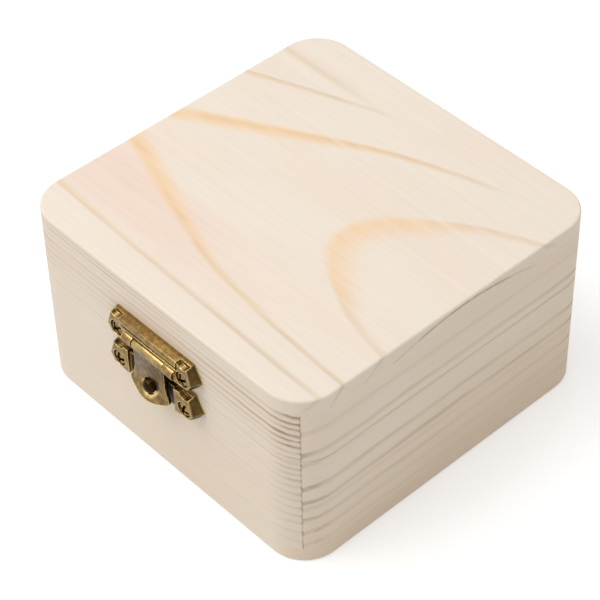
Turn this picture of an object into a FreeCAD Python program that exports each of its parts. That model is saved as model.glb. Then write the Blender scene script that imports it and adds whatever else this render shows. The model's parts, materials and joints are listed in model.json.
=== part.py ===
import FreeCAD, Part
import math
import os
import types

import Sketcher

# A hinged box of bare pine: mitred walls, a lid sawn off the same carcase, a swing clasp in front
# and two butt hinges behind. Millimetres. The origin is the centre of the underside, +Z is up,
# the clasp faces -Y and +X is its right-hand side.

CARCASE_SIZES = {
    "box_width": 90.0,
    "box_depth": 90.0,
    "corner_radius": 9.5,
    "wall_thickness": 7.0,
    "bottom_thickness": 4.0,
    "box_wall_height": 28.2,
    "seam_gap": 0.1,
    "lid_rail_height": 14.2,
    "top_thickness": 4.0,
    "panel_edge_round": 0.6,
}

# Clasp heights are measured up from the middle of the seam, and reaches out from the clasp's middle.
# An ear's sizes are measured from its own screw: foot sizes lie on the wood, face sizes on the front.
CLASP_SIZES = {
    "clasp_screw_reach": 10.8,
    "clasp_screw_rise": 4.65,
    "ear_height": 2.5,
    "ear_top_rise": 4.4,
    "ear_horn_foot_reach": 1.9,
    "ear_horn_face_reach": 1.5,
    "ear_point_foot_reach": 4.5,
    "ear_point_foot_rise": 0.5,
    "ear_point_face_reach": 2.9,
    "ear_point_face_drop": 0.2,
    "ear_low_foot_reach": 2.3,
    "ear_low_foot_drop": 2.5,
    "ear_low_face_reach": 1.7,
    "ear_low_face_drop": 2.0,
    "ear_inner_drop": 2.6,
    "ear_scoop_radius": 1.8,
    "ear_scoop_reach": 0.2,
    "ear_scoop_lift": 0.75,
    "ear_scoop_floor": 1.1,
    "screw_seat_depth": 0.8,
    "bar_half_length": 9.4,
    "bar_foot_rise": 6.6,
    "bar_height": 2.95,
    "bar_bevel": 0.4,
    "bead_width": 0.45,
    "groove_width": 0.7,
    "groove_depth": 0.35,
    "backing_thickness": 0.35,
    "pivot_rise": 4.0,
    "pivot_lift": 2.0,
    "barrel_radius": 1.35,
    "barrel_stand": 0.6,
    "lug_radius": 1.5,
    "lug_width": 3.0,
    "clasp_pin_radius": 0.5,
    "tongue_neck": 5.0,
    "tongue_side_gap": 0.3,
    "tongue_neck_drop": 0.6,
    "tongue_flare": 6.7,
    "tongue_flare_drop": 6.2,
    "tongue_flare_radius": 8.0,
    "tongue_crown": 2.0,
    "tongue_corner_round": 0.8,
    "tongue_thickness": 0.75,
    "lip_start_drop": 4.4,
    "lip_run": 4.4,
    "lip_lift": 2.2,
    "strip_thickness": 1.7,
    "strip_top_drop": 0.9,
    "strip_height": 6.05,
    "ear_tongue_gap": 1.0,
    "strip_ear_overlap": 0.8,
    "stud_drop": 4.95,
    "stud_radius": 1.7,
    "stud_height": 4.4,
    "stud_dome": 0.9,
    "stud_clearance": 0.4,
}

SCREW_SIZES = {
    "clasp_head_radius": 1.85,
    "clasp_head_rim": 0.4,
    "clasp_head_dome": 0.6,
    "clasp_cross_depth": 0.7,
    "clasp_cross_width": 0.8,
    "clasp_shank_radius": 0.9,
    "hinge_head_radius": 1.4,
    "hinge_head_rim": 0.2,
    "hinge_head_dome": 0.35,
    "hinge_cross_depth": 0.38,
    "hinge_cross_width": 0.6,
    "hinge_shank_radius": 0.7,
    "screw_tip_cover": 2.4,
    "screw_point": 1.4,
    "cross_reach_share": 0.8,
    "screw_hole_clearance": 0.15,
    "screw_seat_clearance": 0.15,
    "pilot_clearance": 0.05,
}

HINGE_SIZES = {
    "hinge_inset": 21.0,
    "hinge_width": 16.0,
    "leaf_height": 7.5,
    "leaf_thickness": 0.8,
    "leaf_corner_radius": 1.2,
    "leaf_screw_reach": 4.6,
    "leaf_screw_rise": 4.6,
    "knuckle_radius": 1.4,
    "knuckle_wood_gap": 0.3,
    "knuckle_leaf_gap": 0.35,
    "knuckle_end_gap": 0.15,
    "middle_knuckle": 5.1,
    "web_foot": 0.5,
    "hinge_pin_radius": 0.7,
}

FIT_SIZES = {
    "pin_fit": 0.02,
    "pin_running": 0.06,
    "cut_margin": 1.0,
}

# An arc that turns through half a right angle ends at this share of its radius, along and across
HALF_CORNER = 0.5 ** 0.5

FRONT_TURN = FreeCAD.Rotation(0, 0, 90)
BACK_TURN = FreeCAD.Rotation(180, 0, 90)
ALONG_X = FreeCAD.Rotation(FreeCAD.Vector(0, 1, 0), 90)
SAME_PLACE = 1e-4

# How far round each cross stands, in degrees, in the order that the screws are made
CLASP_CROSS_TURNS = (38, 22, 8, 75)
HINGE_CROSS_TURNS = (10, 62, 25, 78, 48, 5, 70, 33)


class Size:
    """A length: its present value, and the sheet formula that it follows."""

    def __init__(self, value, formula):
        self.value = value
        self.formula = formula

    def join(self, sign, other, value):
        return Size(value, f"({self.formula} {sign} {as_size(other).formula})")

    def __add__(self, other):
        return self.join("+", other, self.value + as_size(other).value)

    def __sub__(self, other):
        return self.join("-", other, self.value - as_size(other).value)

    def __mul__(self, other):
        return self.join("*", other, self.value * as_size(other).value)

    def __truediv__(self, other):
        return self.join("/", other, self.value / as_size(other).value)

    def __neg__(self):
        return Size(-self.value, f"(-{self.formula})")


def as_size(number):
    """A plain number as a Size, so that the two can be mixed."""
    if isinstance(number, Size):
        return number
    return Size(float(number), f"({float(number)!r})")


doc = FreeCAD.newDocument("HingedBox")
sheet = doc.addObject("Spreadsheet::Sheet", "Sizes")
sizes = types.SimpleNamespace()
row = 0
for group in (CARCASE_SIZES, CLASP_SIZES, SCREW_SIZES, HINGE_SIZES, FIT_SIZES):
    for name, number in group.items():
        row += 1
        sheet.set(f"A{row}", name)
        sheet.set(f"B{row}", str(number))
        sheet.setAlias(f"B{row}", name)
        setattr(sizes, name, Size(number, f"Sizes.{name}"))
doc.recompute()

# Places that several pieces share
seam_height = sizes.bottom_thickness + sizes.box_wall_height + sizes.seam_gap / 2
lid_rail_base = sizes.bottom_thickness + sizes.box_wall_height + sizes.seam_gap
lid_top_base = lid_rail_base + sizes.lid_rail_height
front_face = -(sizes.box_depth / 2)
back_face = sizes.box_depth / 2
screw_depth = sizes.wall_thickness - sizes.screw_tip_cover
lug_inner = sizes.tongue_neck + sizes.tongue_side_gap
lug_outer = lug_inner + sizes.lug_width
clasp_top = sizes.clasp_screw_rise + sizes.ear_top_rise
tongue_front = sizes.pivot_lift + sizes.barrel_radius - sizes.barrel_stand
tongue_back = tongue_front - sizes.tongue_thickness
hinge_reach = sizes.box_width / 2 - sizes.hinge_inset
hinge_axis_lift = sizes.knuckle_radius + sizes.knuckle_wood_gap
leaf_foot = sizes.knuckle_radius + sizes.knuckle_leaf_gap


def new_body(node, base=(0, 0, 0), turn=FreeCAD.Rotation()):
    """A body named for its node, at a place that follows the sheet."""
    body = doc.addObject("PartDesign::Body", node)
    body.Label = node
    body.Placement = FreeCAD.Placement(FreeCAD.Vector(0, 0, 0), turn)
    place(body, base)
    return body


def place(piece, base):
    """Bind a piece's place to the sheet, one axis at a time."""
    for axis, distance in zip("xyz", base):
        piece.setExpression(f"Placement.Base.{axis}", as_size(distance).formula)


def origin_plane(body, role):
    return next(plane for plane in body.Origin.OriginFeatures if plane.Role == role)


def new_sketch(body, role, name, shift=(0, 0, 0)):
    """A sketch on one of the body's origin planes, shifted along its own axes."""
    sketch = body.newObject("Sketcher::SketchObject", name)
    sketch.AttachmentSupport = (origin_plane(body, role), [""])
    sketch.MapMode = "FlatFace"
    for axis, distance in zip("xyz", shift):
        sketch.setExpression(f"AttachmentOffset.Base.{axis}", as_size(distance).formula)
    return sketch


def bind(sketch, kind, where, size):
    """Add a dimension whose value follows the sheet."""
    number = sketch.addConstraint(Sketcher.Constraint(kind, *where, size.value))
    sketch.setExpression(f"Constraints[{number}]", size.formula)


def pin_down(sketch, curve, end, x, y):
    """Place a point of a curve; a plain 0 puts it on the sketch's own axis."""
    for kind, axis, distance in (("DistanceX", -2, x), ("DistanceY", -1, y)):
        if isinstance(distance, Size):
            bind(sketch, kind, (-1, 1, curve, end), distance)
        else:
            sketch.addConstraint(Sketcher.Constraint("PointOnObject", curve, end, axis))


def arc_through(start, end, radius):
    """The short arc from start to end; a positive radius turns it anticlockwise."""
    chord = end - start
    left = FreeCAD.Vector(-chord.y, chord.x, 0).normalize()
    height = max(radius ** 2 - (chord.Length / 2) ** 2, 0) ** 0.5
    crown = abs(radius) - height
    middle = (start + end) / 2
    if radius > 0:
        return Part.Arc(start, middle - left * crown, end)
    return Part.Arc(end, middle + left * crown, start)


def add_outline(sketch, corners):
    """Draw a closed outline. A corner is (x, y) or (x, y, radius), with the arc that leaves it."""
    points = []
    for corner in corners:
        points.append(FreeCAD.Vector(as_size(corner[0]).value, as_size(corner[1]).value, 0))
    first = sketch.GeometryCount
    ends = []
    for number, corner in enumerate(corners):
        start = points[number]
        end = points[(number + 1) % len(points)]
        if len(corner) == 2:
            sketch.addGeometry(Part.LineSegment(start, end))
            ends.append((1, 2))
        else:
            radius = corner[2]
            curve = sketch.addGeometry(arc_through(start, end, radius.value))
            ends.append((1, 2) if radius.value > 0 else (2, 1))
            bind(sketch, "Radius", (curve,), radius if radius.value > 0 else -radius)
    for number, corner in enumerate(corners):
        following = (number + 1) % len(corners)
        joint = (first + number, ends[number][1], first + following, ends[following][0])
        sketch.addConstraint(Sketcher.Constraint("Coincident", *joint))
        pin_down(sketch, first + number, ends[number][0], corner[0], corner[1])


def add_circle(sketch, x, y, radius):
    centre = FreeCAD.Vector(as_size(x).value, as_size(y).value, 0)
    curve = sketch.addGeometry(Part.Circle(centre, FreeCAD.Vector(0, 0, 1), radius.value))
    bind(sketch, "Radius", (curve,), radius)
    pin_down(sketch, curve, 3, x, y)


def extrude(body, kind, sketch, name, length, symmetric=False):
    """A Pad or a Pocket of the sketch, to one side or half to each."""
    feature = body.newObject(f"PartDesign::{kind}", name)
    feature.Profile = sketch
    feature.SideType = "Symmetric" if symmetric else "One side"
    feature.setExpression("Length", length.formula)
    doc.recompute()
    return feature


def turn_about_own_axis(body, sketch, name):
    feature = body.newObject("PartDesign::Revolution", name)
    feature.Profile = sketch
    feature.ReferenceAxis = (sketch, ["V_Axis"])
    feature.Angle = 360
    doc.recompute()
    return feature


def mirror_about_middle(body, name):
    """Repeat what the body holds so far on the other side of x = 0."""
    feature = body.newObject("PartDesign::Mirrored", name)
    feature.TransformMode = "Whole shape"
    feature.MirrorPlane = (origin_plane(body, "YZ_Plane"), [""])
    body.Tip = feature
    doc.recompute()
    return feature


def edges_where(feature, test):
    """The names of the edges whose middle point passes the test."""
    names = []
    for number, edge in enumerate(feature.Shape.Edges, start=1):
        middle = edge.valueAt((edge.FirstParameter + edge.LastParameter) / 2)
        if test(middle):
            names.append(f"Edge{number}")
    return names


def near(value, size):
    return abs(value - as_size(size).value) < SAME_PLACE


def crown_radius(width, rise):
    """The radius of an arc of this width that rises this much."""
    return (width * width / 4 + rise * rise) / (rise * 2)


def rounded_corners(half_x, half_y, radius):
    """A rectangle about the middle with rounded corners, anticlockwise."""
    flat_x = half_x - radius
    flat_y = half_y - radius
    return [
        (-flat_x, -half_y),
        (flat_x, -half_y, radius),
        (half_x, -flat_y),
        (half_x, flat_y, radius),
        (flat_x, half_y),
        (-flat_x, half_y, radius),
        (-half_x, flat_y),
        (-half_x, -flat_y, radius),
    ]


# Carcase


def make_panel(node, thickness, base, eased_height):
    """A panel glued over the walls, flush all round, with one rim eased by sanding."""
    body = new_body(node, (0, 0, base))
    sketch = new_sketch(body, "XY_Plane", f"{node}_outline")
    add_outline(sketch, rounded_corners(sizes.box_width / 2, sizes.box_depth / 2, sizes.corner_radius))
    board = extrude(body, "Pad", sketch, f"{node}_board", thickness)
    rim = body.newObject("PartDesign::Fillet", f"{node}_eased_rim")
    rim.Base = (board, edges_where(board, lambda middle: near(middle.z, eased_height)))
    rim.setExpression("Radius", sizes.panel_edge_round.formula)
    doc.recompute()
    return body


def make_wall(node, length, height, base, turn, bores=()):
    """A board with mitred ends and rounded outer corners, its outer face on the frame's y = 0.

    Bores are (x, height, radius): pilot holes for screws, drilled from the outer face.
    """
    body = new_body(node, base, FreeCAD.Rotation(turn, 0, 0))
    bend_start = length / 2 - sizes.corner_radius
    mitre_x = bend_start + sizes.corner_radius * HALF_CORNER
    mitre_y = sizes.corner_radius * (1 - HALF_CORNER)
    inner_x = length / 2 - sizes.wall_thickness
    sketch = new_sketch(body, "XY_Plane", f"{node}_plan")
    add_outline(sketch, [
        (-bend_start, 0),
        (bend_start, 0, sizes.corner_radius),
        (mitre_x, mitre_y),
        (inner_x, sizes.wall_thickness),
        (-inner_x, sizes.wall_thickness),
        (-mitre_x, mitre_y, sizes.corner_radius),
    ])
    extrude(body, "Pad", sketch, f"{node}_board", height)
    if bores:
        holes = new_sketch(body, "XZ_Plane", f"{node}_pilot_holes")
        for x, rise, radius in bores:
            add_circle(holes, x, rise, radius)
        extrude(body, "Pocket", holes, f"{node}_drilling", screw_depth + sizes.pilot_clearance)
    return body


def make_walls():
    """Four walls of the box and four rails of the lid, with pilot holes in front and behind."""
    clasp_bore = sizes.clasp_shank_radius + sizes.pilot_clearance
    hinge_bore = sizes.hinge_shank_radius + sizes.pilot_clearance
    clasp_columns = [-sizes.clasp_screw_reach, sizes.clasp_screw_reach]
    hinge_columns = []
    for centre in (-hinge_reach, hinge_reach):
        hinge_columns += [centre - sizes.leaf_screw_reach, centre + sizes.leaf_screw_reach]
    sides = {
        "front": (sizes.box_width, (0, front_face), 0),
        "right": (sizes.box_depth, (sizes.box_width / 2, 0), 90),
        "back": (sizes.box_width, (0, back_face), 180),
        "left": (sizes.box_depth, (-(sizes.box_width / 2), 0), 270),
    }
    levels = [
        ("box_{}_wall", sizes.box_wall_height, sizes.bottom_thickness, -1),
        ("lid_{}_rail", sizes.lid_rail_height, lid_rail_base, 1),
    ]
    walls = []
    for pattern, height, base, upward in levels:
        seam = seam_height - base
        clasp_rise = seam + sizes.clasp_screw_rise * upward
        hinge_rise = seam + sizes.leaf_screw_rise * upward
        bores = {
            "front": [(x, clasp_rise, clasp_bore) for x in clasp_columns],
            "back": [(x, hinge_rise, hinge_bore) for x in hinge_columns],
        }
        for side, (length, centre, turn) in sides.items():
            node = pattern.format(side)
            walls.append(make_wall(node, length, height, (*centre, base), turn, bores.get(side, ())))
    return walls


# Screws


def cross_corners(reach, half_width, turn):
    """The twelve corners of a cross-shaped recess about the middle, turned by an angle in degrees."""
    corners = []
    for quarter in range(4):
        angle = math.radians(turn + 90 * quarter)
        for out, aside in ((reach, -half_width), (reach, half_width), (half_width, half_width)):
            corners.append((
                out * math.cos(angle) - aside * math.sin(angle),
                out * math.sin(angle) + aside * math.cos(angle),
            ))
    return corners


def make_screw(node, base, turn, seat, radii, head, cross):
    """A domed wood screw that points into the wall, its head on a seat this high above the face."""
    head_radius, shank_radius = radii
    rim, dome = head
    cross_width, cross_depth, cross_turn = cross
    tip = -screw_depth
    body = new_body(node, base, turn)
    profile = new_sketch(body, "XZ_Plane", f"{node}_profile")
    add_outline(profile, [
        (0, tip),
        (shank_radius, tip + sizes.screw_point),
        (shank_radius, seat),
        (head_radius, seat),
        (head_radius, seat + rim, crown_radius(head_radius * 2, dome)),
        (0, seat + rim + dome),
    ])
    turn_about_own_axis(body, profile, f"{node}_turned")
    recess = new_sketch(body, "XY_Plane", f"{node}_cross", (0, 0, seat + rim + dome))
    cross_reach = head_radius * sizes.cross_reach_share
    add_outline(recess, cross_corners(cross_reach, cross_width / 2, cross_turn))
    extrude(body, "Pocket", recess, f"{node}_recess", cross_depth)
    return body


def make_clasp_screws():
    """A screw in each ear of the clasp's two plates."""
    seat = sizes.ear_height - sizes.screw_seat_depth
    radii = (sizes.clasp_head_radius, sizes.clasp_shank_radius)
    head = (sizes.clasp_head_rim, sizes.clasp_head_dome)
    turns = iter(CLASP_CROSS_TURNS)
    screws = []
    for half, upward in (("lid", 1), ("box", -1)):
        height = seam_height + sizes.clasp_screw_rise * upward
        for side, across in (("left", -1), ("right", 1)):
            base = (sizes.clasp_screw_reach * across, front_face, height)
            cross = (sizes.clasp_cross_width, sizes.clasp_cross_depth, next(turns))
            node = f"clasp_{half}_{side}_screw"
            screws.append(make_screw(node, base, FRONT_TURN, seat, radii, head, cross))
    return screws


def make_hinge_screws():
    """Two screws in each leaf of the two hinges."""
    seat = sizes.leaf_thickness
    radii = (sizes.hinge_head_radius, sizes.hinge_shank_radius)
    head = (sizes.hinge_head_rim, sizes.hinge_head_dome)
    turns = iter(HINGE_CROSS_TURNS)
    screws = []
    for side, across in (("left", -1), ("right", 1)):
        for half, upward in (("lid", 1), ("box", -1)):
            height = seam_height + sizes.leaf_screw_rise * upward
            for column, outward in (("inner", -1), ("outer", 1)):
                base = ((hinge_reach + sizes.leaf_screw_reach * outward) * across, back_face, height)
                node = f"hinge_{side}_{half}_{column}_screw"
                cross = (sizes.hinge_cross_width, sizes.hinge_cross_depth, next(turns))
                screws.append(make_screw(node, base, BACK_TURN, seat, radii, head, cross))
    return screws


# Clasp


def ear_corners(inner_x, screw_y, horn, point, low):
    """One level of an ear, anticlockwise from its inner foot: horn, point and low corner by the screw."""
    screw_x = sizes.clasp_screw_reach
    top = screw_y + sizes.ear_top_rise
    point_reach, point_rise = point
    low_reach, low_drop = low
    return [
        (inner_x, screw_y - sizes.ear_inner_drop),
        (screw_x + low_reach, screw_y - low_drop),
        (screw_x + point_reach, screw_y + point_rise),
        (screw_x + horn, top),
        (inner_x, top),
    ]


def add_ear(body, node, inner_x, screw_y):
    """One pointed ear with sloping flanks, a scoop beside its horn and a sunk screw seat."""
    foot = new_sketch(body, "XY_Plane", f"{node}_ear_foot")
    add_outline(foot, ear_corners(
        inner_x, screw_y, sizes.ear_horn_foot_reach,
        (sizes.ear_point_foot_reach, sizes.ear_point_foot_rise),
        (sizes.ear_low_foot_reach, sizes.ear_low_foot_drop),
    ))
    face = new_sketch(body, "XY_Plane", f"{node}_ear_face", (0, 0, sizes.ear_height))
    add_outline(face, ear_corners(
        inner_x, screw_y, sizes.ear_horn_face_reach,
        (sizes.ear_point_face_reach, -sizes.ear_point_face_drop),
        (sizes.ear_low_face_reach, sizes.ear_low_face_drop),
    ))
    ear = body.newObject("PartDesign::AdditiveLoft", f"{node}_ear_flanks")
    ear.Profile = foot
    ear.Sections = [face]
    ear.Ruled = True
    doc.recompute()
    screw_x = sizes.clasp_screw_reach
    seat_radius = sizes.clasp_head_radius + sizes.screw_seat_clearance
    hole_radius = sizes.clasp_shank_radius + sizes.screw_hole_clearance
    scoop_x = screw_x + sizes.ear_scoop_reach
    scoop_y = screw_y + sizes.ear_top_rise + sizes.ear_scoop_lift
    cuts = [
        ("seat", screw_x, screw_y, seat_radius, sizes.screw_seat_depth),
        ("hole", screw_x, screw_y, hole_radius, sizes.ear_height),
        ("scoop", scoop_x, scoop_y, sizes.ear_scoop_radius, sizes.ear_height - sizes.ear_scoop_floor),
    ]
    for cut, x, y, radius, depth in cuts:
        circle = new_sketch(body, "XY_Plane", f"{node}_{cut}_circle", (0, 0, sizes.ear_height))
        add_circle(circle, x, y, radius)
        extrude(body, "Pocket", circle, f"{node}_{cut}", depth)


def make_hinge_plate():
    """The plate on the lid: two ears, a grooved bar and the lugs that hold the tongue's pin."""
    node = "clasp_hinge_plate"
    body = new_body(node, (0, front_face, seam_height), FRONT_TURN)
    add_ear(body, node, lug_inner, sizes.clasp_screw_rise)
    lug = new_sketch(body, "YZ_Plane", f"{node}_lug_profile", (0, 0, lug_inner))
    add_outline(lug, [
        (sizes.pivot_rise - sizes.lug_radius, 0),
        (sizes.pivot_rise + sizes.lug_radius, 0),
        (sizes.pivot_rise + sizes.lug_radius, sizes.pivot_lift, sizes.lug_radius),
        (sizes.pivot_rise, sizes.pivot_lift + sizes.lug_radius, sizes.lug_radius),
        (sizes.pivot_rise - sizes.lug_radius, sizes.pivot_lift),
    ])
    extrude(body, "Pad", lug, f"{node}_lug", sizes.lug_width)
    mirror_about_middle(body, f"{node}_pair")
    groove_foot = sizes.bar_foot_rise + sizes.bead_width
    groove_top = groove_foot + sizes.groove_width
    groove_floor = sizes.bar_height - sizes.groove_depth
    bar = new_sketch(body, "YZ_Plane", f"{node}_bar_profile")
    add_outline(bar, [
        (sizes.bar_foot_rise, 0),
        (clasp_top, 0),
        (clasp_top, sizes.bar_height - sizes.bar_bevel),
        (clasp_top - sizes.bar_bevel, sizes.bar_height),
        (groove_top, sizes.bar_height),
        (groove_top, groove_floor),
        (groove_foot, groove_floor),
        (groove_foot, sizes.bar_height),
        (sizes.bar_foot_rise, sizes.bar_height),
    ])
    extrude(body, "Pad", bar, f"{node}_bar", sizes.bar_half_length * 2, symmetric=True)
    plate_foot = sizes.clasp_screw_rise - sizes.ear_inner_drop
    backing = new_sketch(body, "XY_Plane", f"{node}_backing_outline")
    add_outline(backing, [
        (-lug_outer, plate_foot),
        (lug_outer, plate_foot),
        (lug_outer, clasp_top),
        (-lug_outer, clasp_top),
    ])
    extrude(body, "Pad", backing, f"{node}_backing", sizes.backing_thickness)
    bore = new_sketch(body, "YZ_Plane", f"{node}_bore_circle")
    add_circle(bore, sizes.pivot_rise, sizes.pivot_lift, sizes.clasp_pin_radius + sizes.pin_fit)
    extrude(body, "Pocket", bore, f"{node}_bore", lug_outer * 2, symmetric=True)
    return body


def make_catch_plate():
    """The plate on the box: two ears joined by a thin strip that carries the domed stud."""
    node = "clasp_catch_plate"
    body = new_body(node, (0, front_face, seam_height), FRONT_TURN)
    inner_x = sizes.tongue_flare + sizes.ear_tongue_gap
    add_ear(body, node, inner_x, -sizes.clasp_screw_rise)
    mirror_about_middle(body, f"{node}_pair")
    strip_half = inner_x + sizes.strip_ear_overlap
    strip_foot = -(sizes.strip_top_drop + sizes.strip_height)
    strip = new_sketch(body, "XY_Plane", f"{node}_strip_outline")
    add_outline(strip, [
        (-strip_half, strip_foot),
        (strip_half, strip_foot),
        (strip_half, -sizes.strip_top_drop),
        (-strip_half, -sizes.strip_top_drop),
    ])
    extrude(body, "Pad", strip, f"{node}_strip", sizes.strip_thickness)
    stud = new_sketch(body, "XZ_Plane", f"{node}_stud_profile", (0, 0, sizes.stud_drop))
    add_outline(stud, [
        (0, 0),
        (sizes.stud_radius, 0),
        (sizes.stud_radius, sizes.stud_height - sizes.stud_dome,
         crown_radius(sizes.stud_radius * 2, sizes.stud_dome)),
        (0, sizes.stud_height),
    ])
    turn_about_own_axis(body, stud, f"{node}_stud")
    return body


def make_tongue():
    """The flap that swings on the clasp pin: a barrel, a flared leaf, a turned-out lip and a stud hole."""
    node = "clasp_tongue"
    body = new_body(node, (0, front_face, seam_height), FRONT_TURN)
    bend = crown_radius(sizes.lip_run * 2, sizes.lip_lift)
    inner_bend = bend - sizes.tongue_thickness
    inner_share = inner_bend / bend
    lip_start = -sizes.lip_start_drop
    side = new_sketch(body, "YZ_Plane", f"{node}_side_profile")
    add_outline(side, [
        (sizes.pivot_rise, tongue_back),
        (sizes.pivot_rise, tongue_front),
        (lip_start, tongue_front, -inner_bend),
        (lip_start - sizes.lip_run * inner_share, tongue_back + bend - (bend - sizes.lip_lift) * inner_share),
        (lip_start - sizes.lip_run, tongue_back + sizes.lip_lift, bend),
        (lip_start, tongue_back),
    ])
    extrude(body, "Pad", side, f"{node}_leaf_blank", sizes.tongue_flare * 2, symmetric=True)
    add_tongue_outline(body, node)
    barrel = new_sketch(body, "YZ_Plane", f"{node}_barrel_circle")
    add_circle(barrel, sizes.pivot_rise, sizes.pivot_lift, sizes.barrel_radius)
    extrude(body, "Pad", barrel, f"{node}_barrel", sizes.tongue_neck * 2, symmetric=True)
    bore = new_sketch(body, "YZ_Plane", f"{node}_bore_circle")
    add_circle(bore, sizes.pivot_rise, sizes.pivot_lift, sizes.clasp_pin_radius + sizes.pin_running)
    extrude(body, "Pocket", bore, f"{node}_bore", sizes.tongue_neck * 2, symmetric=True)
    hole_front = sizes.stud_height + sizes.cut_margin
    hole = new_sketch(body, "XY_Plane", f"{node}_stud_circle", (0, 0, hole_front))
    add_circle(hole, 0, -sizes.stud_drop, sizes.stud_radius + sizes.stud_clearance)
    extrude(body, "Pocket", hole, f"{node}_stud_hole", hole_front)
    return body


def add_tongue_outline(body, node):
    """Trim the leaf to its front view: a straight neck, flared sides and a crowned end."""
    neck = sizes.tongue_neck
    neck_foot = -sizes.tongue_neck_drop
    flare = sizes.tongue_flare
    flare_foot = -sizes.tongue_flare_drop
    side_bend = -sizes.tongue_flare_radius
    blank_top = sizes.pivot_rise + sizes.cut_margin
    blank_foot = -(sizes.lip_start_drop + sizes.lip_run + sizes.tongue_crown + sizes.cut_margin)
    blank_half = flare + sizes.cut_margin
    clear_front = tongue_front + sizes.lip_lift + sizes.cut_margin
    trim = new_sketch(body, "XY_Plane", f"{node}_front_outline", (0, 0, clear_front))
    add_outline(trim, [
        (-blank_half, blank_foot),
        (blank_half, blank_foot),
        (blank_half, blank_top + sizes.cut_margin),
        (-blank_half, blank_top + sizes.cut_margin),
    ])
    add_outline(trim, [
        (-neck, blank_top),
        (-neck, neck_foot, side_bend),
        (-flare, flare_foot, crown_radius(flare * 2, sizes.tongue_crown)),
        (flare, flare_foot, side_bend),
        (neck, neck_foot),
        (neck, blank_top),
    ])
    leaf = extrude(body, "Pocket", trim, f"{node}_trimming", clear_front)

    def on_flare_corner(middle):
        return near(abs(middle.x), flare) and near(middle.y, flare_foot)

    corners = body.newObject("PartDesign::Fillet", f"{node}_rounded_corners")
    corners.Base = (leaf, edges_where(leaf, on_flare_corner))
    corners.setExpression("Radius", sizes.tongue_corner_round.formula)
    doc.recompute()


def make_pin(node, radius, length, base):
    """A plain round pin along X, centred on its base point."""
    pin = doc.addObject("Part::Cylinder", node)
    pin.Label = node
    pin.setExpression("Radius", radius.formula)
    pin.setExpression("Height", length.formula)
    pin.Placement = FreeCAD.Placement(FreeCAD.Vector(0, 0, 0), ALONG_X)
    place(pin, (as_size(base[0]) - length / 2, base[1], base[2]))
    return pin


# Hinges


def make_leaf(node, centre, upward):
    """A hinge leaf on the back face: the lid's has the middle knuckle, the box's the outer two."""
    body = new_body(node, (centre, back_face, seam_height), BACK_TURN)
    half = sizes.hinge_width / 2
    inner = sizes.middle_knuckle / 2 if upward > 0 else sizes.middle_knuckle / 2 + sizes.knuckle_end_gap
    corner = sizes.leaf_corner_radius
    top = sizes.leaf_height * upward
    foot = leaf_foot * upward
    web = sizes.web_foot * upward
    outline = new_sketch(body, "XY_Plane", f"{node}_outline")
    if upward > 0:
        lower_edge = [(-half, foot), (-inner, foot), (-inner, web), (inner, web), (inner, foot), (half, foot)]
    else:
        lower_edge = [(-half, web), (-inner, web), (-inner, foot), (inner, foot), (inner, web), (half, web)]
    bend = corner * upward
    add_outline(outline, lower_edge + [
        (half, top - bend, bend),
        (half - corner, top),
        (corner - half, top, bend),
        (-half, top - bend),
    ])
    extrude(body, "Pad", outline, f"{node}_plate", sizes.leaf_thickness)
    holes = new_sketch(body, "XY_Plane", f"{node}_hole_circles", (0, 0, sizes.leaf_thickness))
    for x in (-sizes.leaf_screw_reach, sizes.leaf_screw_reach):
        hole_radius = sizes.hinge_shank_radius + sizes.screw_hole_clearance
        add_circle(holes, x, sizes.leaf_screw_rise * upward, hole_radius)
    extrude(body, "Pocket", holes, f"{node}_holes", sizes.leaf_thickness)
    spans = [(-inner, inner)] if upward > 0 else [(-half, -inner), (inner, half)]
    for number, (start, end) in enumerate(spans, start=1):
        ring = new_sketch(body, "YZ_Plane", f"{node}_knuckle_circle_{number}", (0, 0, start))
        add_circle(ring, 0, hinge_axis_lift, sizes.knuckle_radius)
        extrude(body, "Pad", ring, f"{node}_knuckle_{number}", end - start)
    fit = sizes.pin_running if upward > 0 else sizes.pin_fit
    bore = new_sketch(body, "YZ_Plane", f"{node}_bore_circle")
    add_circle(bore, 0, hinge_axis_lift, sizes.hinge_pin_radius + fit)
    extrude(body, "Pocket", bore, f"{node}_bore", sizes.hinge_width + sizes.cut_margin, symmetric=True)
    return body


def make_hinges():
    pieces = []
    for side, centre in (("left", -hinge_reach), ("right", hinge_reach)):
        pieces.append(make_leaf(f"hinge_{side}_box_leaf", centre, -1))
        pieces.append(make_leaf(f"hinge_{side}_lid_leaf", centre, 1))
        axis = (centre, back_face + hinge_axis_lift, seam_height)
        pieces.append(make_pin(f"hinge_{side}_pin", sizes.hinge_pin_radius, sizes.hinge_width, axis))
    return pieces


# Assembly


def make_all():
    pieces = make_walls()
    pieces.append(make_panel("box_bottom_panel", sizes.bottom_thickness, 0, 0))
    pieces.append(make_panel("lid_top_panel", sizes.top_thickness, lid_top_base, sizes.top_thickness))
    pieces.append(make_hinge_plate())
    pieces.append(make_catch_plate())
    pieces.append(make_tongue())
    pivot = (0, front_face - sizes.pivot_lift, seam_height + sizes.pivot_rise)
    pieces.append(make_pin("clasp_pin", sizes.clasp_pin_radius, lug_outer * 2, pivot))
    pieces += make_clasp_screws()
    pieces += make_hinges()
    pieces += make_hinge_screws()
    return pieces


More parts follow.
